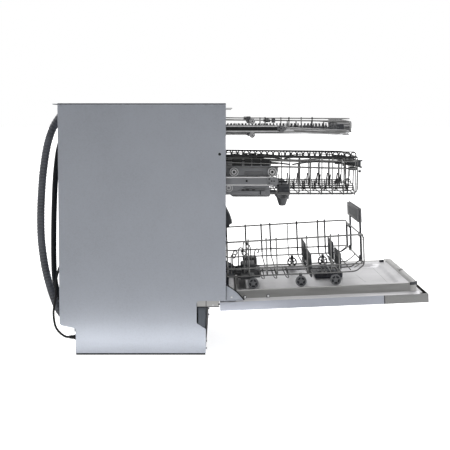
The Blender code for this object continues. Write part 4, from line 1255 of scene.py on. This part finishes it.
b.wire([(-215, -676, 606), (-215, -676, 574), (-215, -666, 566)], 1.8, 8, 6)
b.use(1).wire([(-236, -660, 640), (-236, -662, 560), (-236, -668, 522)], 2.0, 8, 6)
b.done("upper_rack_wires", WIRE, "upper_basket", "wire", 45, ("upper_basket",), [WIRE, WIRE_PAINTED_SHADE])

b = Build()
b.box(-238, 238, -711, -704.5, 606, 629, 2.4, seg=3)
b.box(-232, 232, -706, -702.6, 609, 626, 1.0)
b.use(1)
for s in (-1, 1):
    b.box(min(s * 239, s * 226), max(s * 239, s * 226), -710, -664, 613, 631, 1.6, seg=2)
    b.box(min(s * 236, s * 222), max(s * 236, s * 222), -698, -674, 597, 608, 1.6, seg=2)
    b.box(min(s * 242, s * 236), max(s * 242, s * 236), -716, -707, 626, 631, 1)
    b.box(min(s * 242, s * 236), max(s * 242, s * 236), -715, -706, 605, 610, 1)
    b.box(min(s * 242, s * 236), max(s * 242, s * 236), -711, -703, 590, 598, 1)
b.done("upper_rack_grip", MIDGREY, "upper_basket", "dark_plastic", 35, ("upper_grip",), [MIDGREY, DARK])


def roller(b, x0, x1, y, z, r, dark=1, light=0):
    """A roller: light rim and boss with a groove between painted dark as shade, on a black pin."""
    s = 1 if x1 > x0 else -1
    L = abs(x1 - x0)
    out = lambda prof: [(p[0], x0 + s * p[1]) for p in prof]
    b.use(light).ring(out([(r * 0.8, 0), (r * 0.97, 0), (r, 0.8), (r, L - 0.9), (r * 0.94, L), (r * 0.82, L), (r * 0.8, L - 0.8)]), (0, y, z), "X", 40)
    # the groove ring takes the dark slot: painted shade of the recess
    b.use(dark).ring(out([(r * 0.6, 0.4), (r * 0.81, 0.4), (r * 0.81, L - 2.2), (r * 0.6, L - 2.2)]), (0, y, z), "X", 40)
    b.use(light).ring(out([(r * 0.3, 0.2), (r * 0.62, 0.2), (r * 0.62, L - 0.9), (r * 0.56, L - 0.2), (r * 0.3, L - 0.6)]), (0, y, z), "X", 40)
    prof = out([(0, 0), (r * 0.32, 0), (r * 0.32, L - 1.6), (0, L - 1.6)])
    b.use(dark).turned(prof if s > 0 else prof[::-1], (0, y, z), "X", 20)


for side, s in (("left", -1), ("right", 1)):
    b = Build()
    X = lambda a, c, s=s: (min(s * a, s * c), max(s * a, s * c))
    # height-setting carrier: main plate, raised lever and the lower plate
    b.use(0).prism(round2([(-262, 579), (-262, 612), (-436, 612), (-440, 600), (-436, 579)], 4), *X(249, 255), "X", 1.0, seg=2)
    b.use(2).box(*X(254.6, 257.2), -392, -330, 583.5, 594.5, 1.2, seg=2)
    b.use(0)
    b.box(*X(254, 256.4), -436, -262, 609, 612.6, 0.8)
    b.use(1)
    for y0, y1 in ((-330, -352), (-356, -382), (-386, -412), (-290, -322)):
        b.box(*X(248, 252), y1, y0, 612, 635, 1.2)
    b.use(0).prism(round2([(-262, 528), (-262, 556), (-398, 556), (-398, 549), (-360, 549), (-352, 546), (-334, 546), (-326, 541), (-306, 529)], 2), *X(249, 256.4), "X", 0.8)
    b.use(1).box(*X(251, 257), -402, -262, 551, 555, 0.8)
    b.use(0).box(*X(251, 256.6), -398, -268, 518.2, 530.5, 1.2)
    b.use(1)
    for y in (-324, -340, -360):
        b.box(*X(255.8, 257), y - 5, y + 5, 532.8, 536, 0.6)
    b.box(*X(255.5, 257), -384, -380, 518.4, 531, 0.4)
    b.use(0).wire([(s * 257, -292, 531), (s * 257, -306, 527), (s * 257, -326, 540), (s * 257, -352, 543)], 1.6, 8, 4)
    b.use(4).wire([(s * 257.6, -262, 624), (s * 257.6, -440, 619)], 1.7, 8)
    b.wire([(s * 257.6, -262, 607.6), (s * 257.6, -440, 606)], 1.5, 8)
    for y in (-296, -420):
        roller(b, s * 258, s * 266.5, y, 592.7, 14.4, 1, 3)
    roller(b, s * 248.6, s * 257.2, -279, 540.4, 13.6, 1, 3)
    # the height-setting plate under the runner, with its sloped lever
    b.use(0).prism(round2([(-284, 516), (-284, 545), (-300, 548), (-408, 548), (-414, 540), (-414, 514), (-404, 511), (-296, 511)], 3), *X(247.6, 250.4), "X", 0.8)
    b.use(2).prism(round2([(-300, 516), (-300, 521), (-322, 523), (-336, 534), (-400, 534), (-400, 539), (-334, 539), (-318, 528), (-300, 527)][::-1], 1), *X(250.2, 252.4), "X", 0.5)
    b.use(2).box(*X(250.2, 251.8), -412, -290, 511.5, 514.5, 0.6)
    b.done("upper_carrier_%s_plate" % side, MIDGREY, "upper_basket", "dark_plastic", 35, ("upper_carrier_%s" % side,), [RACK_GREY, BLACK, GREY, ROLLER, WIRE])

    def runner(b, y0, y1, z0, z1, x_in=257.5, x_out=268.0, web=1):
        """A C rail: rolled top and bottom flanges, recessed web whose outer face is painted darker as shade."""
        zc, h = (z0 + z1) / 2, (z1 - z0) / 2
        out = [(x_out, z1 - 1.4), (x_out - 1.4, z1), (x_in + 1.0, z1), (x_in, z1 - 1.0), (x_in, z1 - 3.6), (x_in + 1.4, z1 - 3.6), (x_in + 1.8, z1 - 1.8), (x_out - 2.2, z1 - 1.8), (x_out - 1.8, z1 - 2.4),
               (x_out - 1.8, z0 + 2.4), (x_out - 2.2, z0 + 1.8), (x_in + 1.8, z0 + 1.8), (x_in + 1.4, z0 + 3.6), (x_in, z0 + 3.6), (x_in, z0 + 1.0), (x_in + 1.0, z0), (x_out - 1.4, z0), (x_out, z0 + 1.4)]
        b.prism([(s * p[0], p[1]) for p in out], y0, y1, "Y", 0)
        # the web's outer face in grey or black plastic: painted shade of the recessed steel channel
        b.use(web)
        b.box(*X(x_out - 0.2, x_out + 0.2), y0 + 3, y1 - 3, z0 + 4.4, z1 - 4.4)
        b.use(0)

    b = Build()
    runner(b, -424, -44, 549, 578, web=3)
    b.use(0)
    for z in (550.2, 576.4):
        b.box(*X(267.4, 269.4), -423, -44, z - 1.4, z + 1.6, 0.7, seg=2)
    b.use(2)
    b.prism(round2([(-404, 549.4), (-404, 576.4), (-420, 579), (-436, 574), (-441, 562), (-434, 548), (-424, 544)], 3), *X(258.4, 269), "X", 1.0, seg=2)
    b.use(1)
    for y, z in ((-410, 570), (-410, 557), (-418, 563.5), (-426, 563.5)):
        b.box(*X(268.8, 269.6), y - 2, y + 2, z - 2, z + 2, 0.3)
    b.box(*X(267.2, 269.2), -340, -334, 560.5, 567, 0.6)
    b.done("upper_rail_%s_steel" % side, CHROME, "upper_rails", "chrome", 35, ("upper_rail_%s" % side,), [CHROME, BLACK, RACK_GREY, RACK_GREY])

    b = Build()
    runner(b, -449, -49, 722.5, 743.5)
    for z in (723.6, 742.2):
        b.box(*X(267.6, 269.2), -440, -49, z - 1.0, z + 1.4, 0.6, seg=2)
    b.use(2)
    b.prism(round2([(-436, 723), (-436, 743), (-449, 744), (-462, 738), (-466, 730), (-452, 722)], 3), *X(258.4, 269), "X", 1.0, seg=2)
    b.use(1)
    for y, z in ((-442, 738), (-442, 728), (-448, 733)):
        b.box(*X(268.8, 269.6), y - 2, y + 2, z - 2, z + 2, 0.3)
    b.box(*X(268.2, 269.2), -372, -366, 730, 736, 0.6)
    b.done("tray_rail_%s_steel" % side, CHROME, "tray_rails", "chrome", 35, ("tray_rail_%s" % side,), [CHROME, BLACK, GREY])

# ---- feed pipe and cone to the middle arm ---------------------------------------------------
AO = -467.0
b = Build()
b.box(-15, 15, -447, -249, 507.2, 516.8, 4.4, seg=4)
b.box(-17, 17, -262, -249, 506.4, 517.4, 3, seg=2)
b.box(-19, 19, AO - 19, AO + 19, 506.8, 517.4, 3, seg=2)
b.box(-16, 16, AO - 16, AO + 16, 517, 541, 3, seg=2)
b.box(-238, 238, AO - 8, AO + 8, 527, 536, 2)
for x in (-218, -110, 110, 218):
    b.box(x - 12, x + 12, AO - 14, AO + 24, 524, 545, 3, seg=2)
    b.box(x - 8, x + 8, AO - 20, AO + 36, 536, 542, 1.6, seg=2)
b.done("feed_pipe_body", DARK, "upper_basket", "dark_plastic", 35, ("upper_feed_pipe",))


def arm_shape(b, at, reach, w, z0, z1, hub_r, hub0, hub1, light=0, dark=1):
    """A spray arm: a long lens with raised spine, hub, bosses and jet slots."""
    pts = []
    n = 24
    for i in range(n + 1):
        t = -1 + 2 * i / n
        half = w / 2 * (0.62 + 0.38 * (1 - abs(t)) ** 0.7)
        end = min(1.0, (1 - abs(t)) * 9)
        pts.append((t * reach, half * math.sin(math.acos(1 - end)) if end < 1 else half))
    out = pts + [(x, -y) for x, y in reversed(pts) if abs(y) > 1e-6]
    clean = []
    for p in out:
        if not clean or (Vector(p) - Vector(clean[-1])).length > 0.4:
            clean.append(p)
    b.use(light).prism([(at[0] + x, at[1] + y) for x, y in clean], at[2] + z0, at[2] + z1 - 1.6, "Z", 1.4, seg=2)
    sp = [(x * 0.93, y * 0.45) for x, y in clean]
    b.prism([(at[0] + x, at[1] + y) for x, y in sp], at[2] + z1 - 2.4, at[2] + z1, "Z", 1.0)
    b.turned([(0, hub0), (hub_r, hub0), (hub_r, hub1 - 2), (hub_r - 2, hub1), (hub_r * 0.5, hub1), (hub_r * 0.4, hub1 - 1.6), (0, hub1 - 1.6)], at, "Z", 32)
    # the jet slots are thin black marks on the top face: painted shade of the openings
    b.use(dark)
    for k, f in enumerate((-0.86, -0.66, -0.47, -0.3, 0.36, 0.55, 0.74, 0.9)):
        b.box(at[0] + f * reach - 3.4, at[0] + f * reach + 3.4, at[1] + (4 if k % 2 else -6) - 1, at[1] + (4 if k % 2 else -6) + 1, at[2] + z1 - 0.4, at[2] + z1 + 0.25, 0.2)


for name, at, reach, w, z0, z1, hr, h0, h1 in (("lower_spray_arm", (0, ARM_Y, 187.3), 212, 52, 6, 16, 20, 1, 20), ("ceiling_spray_arm", (0, ARM_Y, 789), 120, 40, -9, -3, 20, -12, -0.6),
                                               ("middle_spray_arm", (0, AO, 506.3), 180, 40, -9.3, -1.3, 20, -12, -0.8)):
    b = Build()
    arm_shape(b, at, reach, w, z0, z1, hr, h0, h1)
    if name == "middle_spray_arm":
        b.use(0).turned([(0, -44), (9.6, -44), (11.4, -42.4), (14, -36), (19.5, -18), (21, -14), (24, -12.6), (26, -8), (26, -1.2), (0, -1.2)], at, "Z", 12)
        b.use(1).turned([(0, -44.6), (5, -44.6), (5, -43), (0, -43)], at, "Z", 16)
    body = RACK_GREY if name == "middle_spray_arm" else GREY
    b.done(name + "_body", body, name, "grey_plastic", 35, (name,), [body, BLACK])

# ---- cutlery tray -----------------------------------------------------------------------------
b = Build()
TX = 245.0
TY0, TY1 = -672.0, -230.0
tz = lambda y: 763.2 + (y - TY1) * 0.006
b.use(0).wire([(p[0], p[1], 768.6 + (p[1] - TY1) * 0.007) for p in rim_loop(TX, TY0, TY1, 16, lambda a, c: 0)], 1.9, 8, closed=True)
b.use(0)
for s in (-1, 1):
    # the far side is drawn in the painted-shade copy of the wire
    b.use(0 if s < 0 else 1)
    b.wire([(s * 245.5, -600, 757), (s * 245.5, -673, 752), (s * 245.5, -675, 724), (s * 245.5, -640, 724), (s * 245.5, TY1, 721)], 1.8, 8, 6)
    b.wire([(s * 244, TY1, 762), (s * 244, -670, 757)], 2.0, 8)
    for y in (-397, -474.6, -550):
        b.use(1).wire([(s * 246, y, 768), (s * 246, y, 747), (s * 240, y, 724)], 1.9, 8, 6)
        b.turned([(0, 764.5), (2.6, 765), (2.9, 767), (1.8, 770.6), (0, 771)], (s * 245.6, y, 0), "Z", 10)
    for y in (-498, -588):
        b.use(1).wire([(s * 243, y, 757), (s * 243, y, 724)], 1.8, 8)
b.use(1)
for x in range(-220, 221, 44):
    b.wire([(x, TY1, 717.9), (x, TY0 + 2, 717.9)], 1.6, 6)
for y in range(-660, -235, 42):
    b.wire([(-TX + 2, y, 720.4), (TX - 2, y, 720.4)], 1.6, 6)
# combs that hold the knives and forks
b.use(2)
for x, h0, h1 in ((-238, 738, 751), (-30, 730, 742), (150, 730, 742), (238, 736, 748)):
    b.box(x - 2.4, x + 2.4, TY0 + 34, TY1 - 2, h0 - 4, h0 + 1, 0.6)
    y = TY0 + 40
    while y < TY1 - 6:
        b.box(x - 1.6, x + 1.6, y, y + 4.0, h0, h1, 0.5)
        y += 11.4
b.use(3)
for s in (-1, 1):
    pts = round2([(-440, 720), (-440, 736), (-458, 742), (-480, 738), (-560, 734), (-668, 729), (-672, 720), (-664, 713.5), (-630, 713), (-560, 715.5), (-470, 719)], 3)
    b.prism(pts, *((s * 246.4, s * 242) if s < 0 else (s * 242, s * 246.4)), "X", 0.8)
    for ya, za, yb, zb, w in ((-478, 733, -664, 726, 1.5), (-490, 727, -660, 719.5, 1.7), (-520, 722.5, -640, 717, 1.2)):
        b.use(0).wire([(s * 246.4, ya, za), (s * 246.4, yb, zb)], w, 8)
    b.use(3).box(min(s * 247, s * 239), max(s * 247, s * 239), -672, -650, 711.5, 716, 1)
for s in (-1, 1):
    for y, z in ((-355, 757), (-355, 712.6)):
        roller(b, s * 249, s * 257, y, z, 9.6, 2, 4)
    b.use(2).box(min(s * 249, s * 246), max(s * 249, s * 246), -350, -336, 760, 773, 1.6)
    b.box(min(s * 249, s * 246), max(s * 249, s * 246), -356, -340, 709, 716, 1.6)
    b.use(1).wire([(s * 247, -340, 712.8), (s * 247, TY1, 712.8)], 1.7, 8)
    b.use(1).wire([(s * 247, -340, 717), (s * 247, TY1, 717)], 1.7, 8)
    b.use(2).box(min(s * 248, s * 241), max(s * 248, s * 241), -430, -418, 752, 766, 1.4)
    b.box(min(s * 248, s * 241), max(s * 248, s * 241), -414, -409, 754, 764, 1.4)
b.done("cutlery_tray_body", WIRE, "cutlery_tray", "wire", 45, ("cutlery_tray",), [WIRE, WIRE_PAINTED_SHADE, MIDGREY, make_brushed("tray_sheet", (0.66, 0.66, 0.67), (1, 0.3, 3), 0.4, 0.5, 1.0, 0.0, 30), ROLLER])
b = Build()
b.prism(round2([(-638, 768), (-688, 757), (-690.5, 750), (-644, 757)], 2), -150, 150, "X", 0.9)
b.prism(round2([(-650, 749), (-690, 747), (-690, 720), (-683, 719), (-682, 740), (-650, 741)], 1.5), -150, 150, "X", 0.6)
# a dark block filling the grip's pocket: painted shade of the recess
b.use(1).prism(round2([(-641, 747), (-664, 747), (-664, 728), (-641, 728)], 2), -151, 151, "X", 0.6)
b.use(0)
for s in (-1, 1):
    b.box(s * 146 - 4, s * 146 + 4, -690, -640, 720, 726, 1)
    b.box(s * 146 - 4, s * 146 + 4, -690, -640, 744, 752, 1)
b.done("tray_grip_body", bpy.data.materials["tray_sheet"], "cutlery_tray", "grey_plastic", 35, ("tray_grip",), [bpy.data.materials["tray_sheet"], DARK])

# ---- CAD pieces that stay, each with its own material ------------------------------------------
KEEP = {
    "tub": TUBSTEEL, "door_seal": RUBBER, "base_tray": BLACK, "sump": DARK, "filter": GREY, "salt_cap": MIDGREY, "supply_pipe": GREY,
    "circulation_pump": MOTOR, "drain_pump": MOTOR, "water_softener": GREY, "front_foot_left": DARK, "front_foot_right": DARK, "rear_foot": DARK,
}
for name, mat in KEEP.items():
    ob = N[name]
    ob.data.materials.clear()
    ob.data.materials.append(mat)
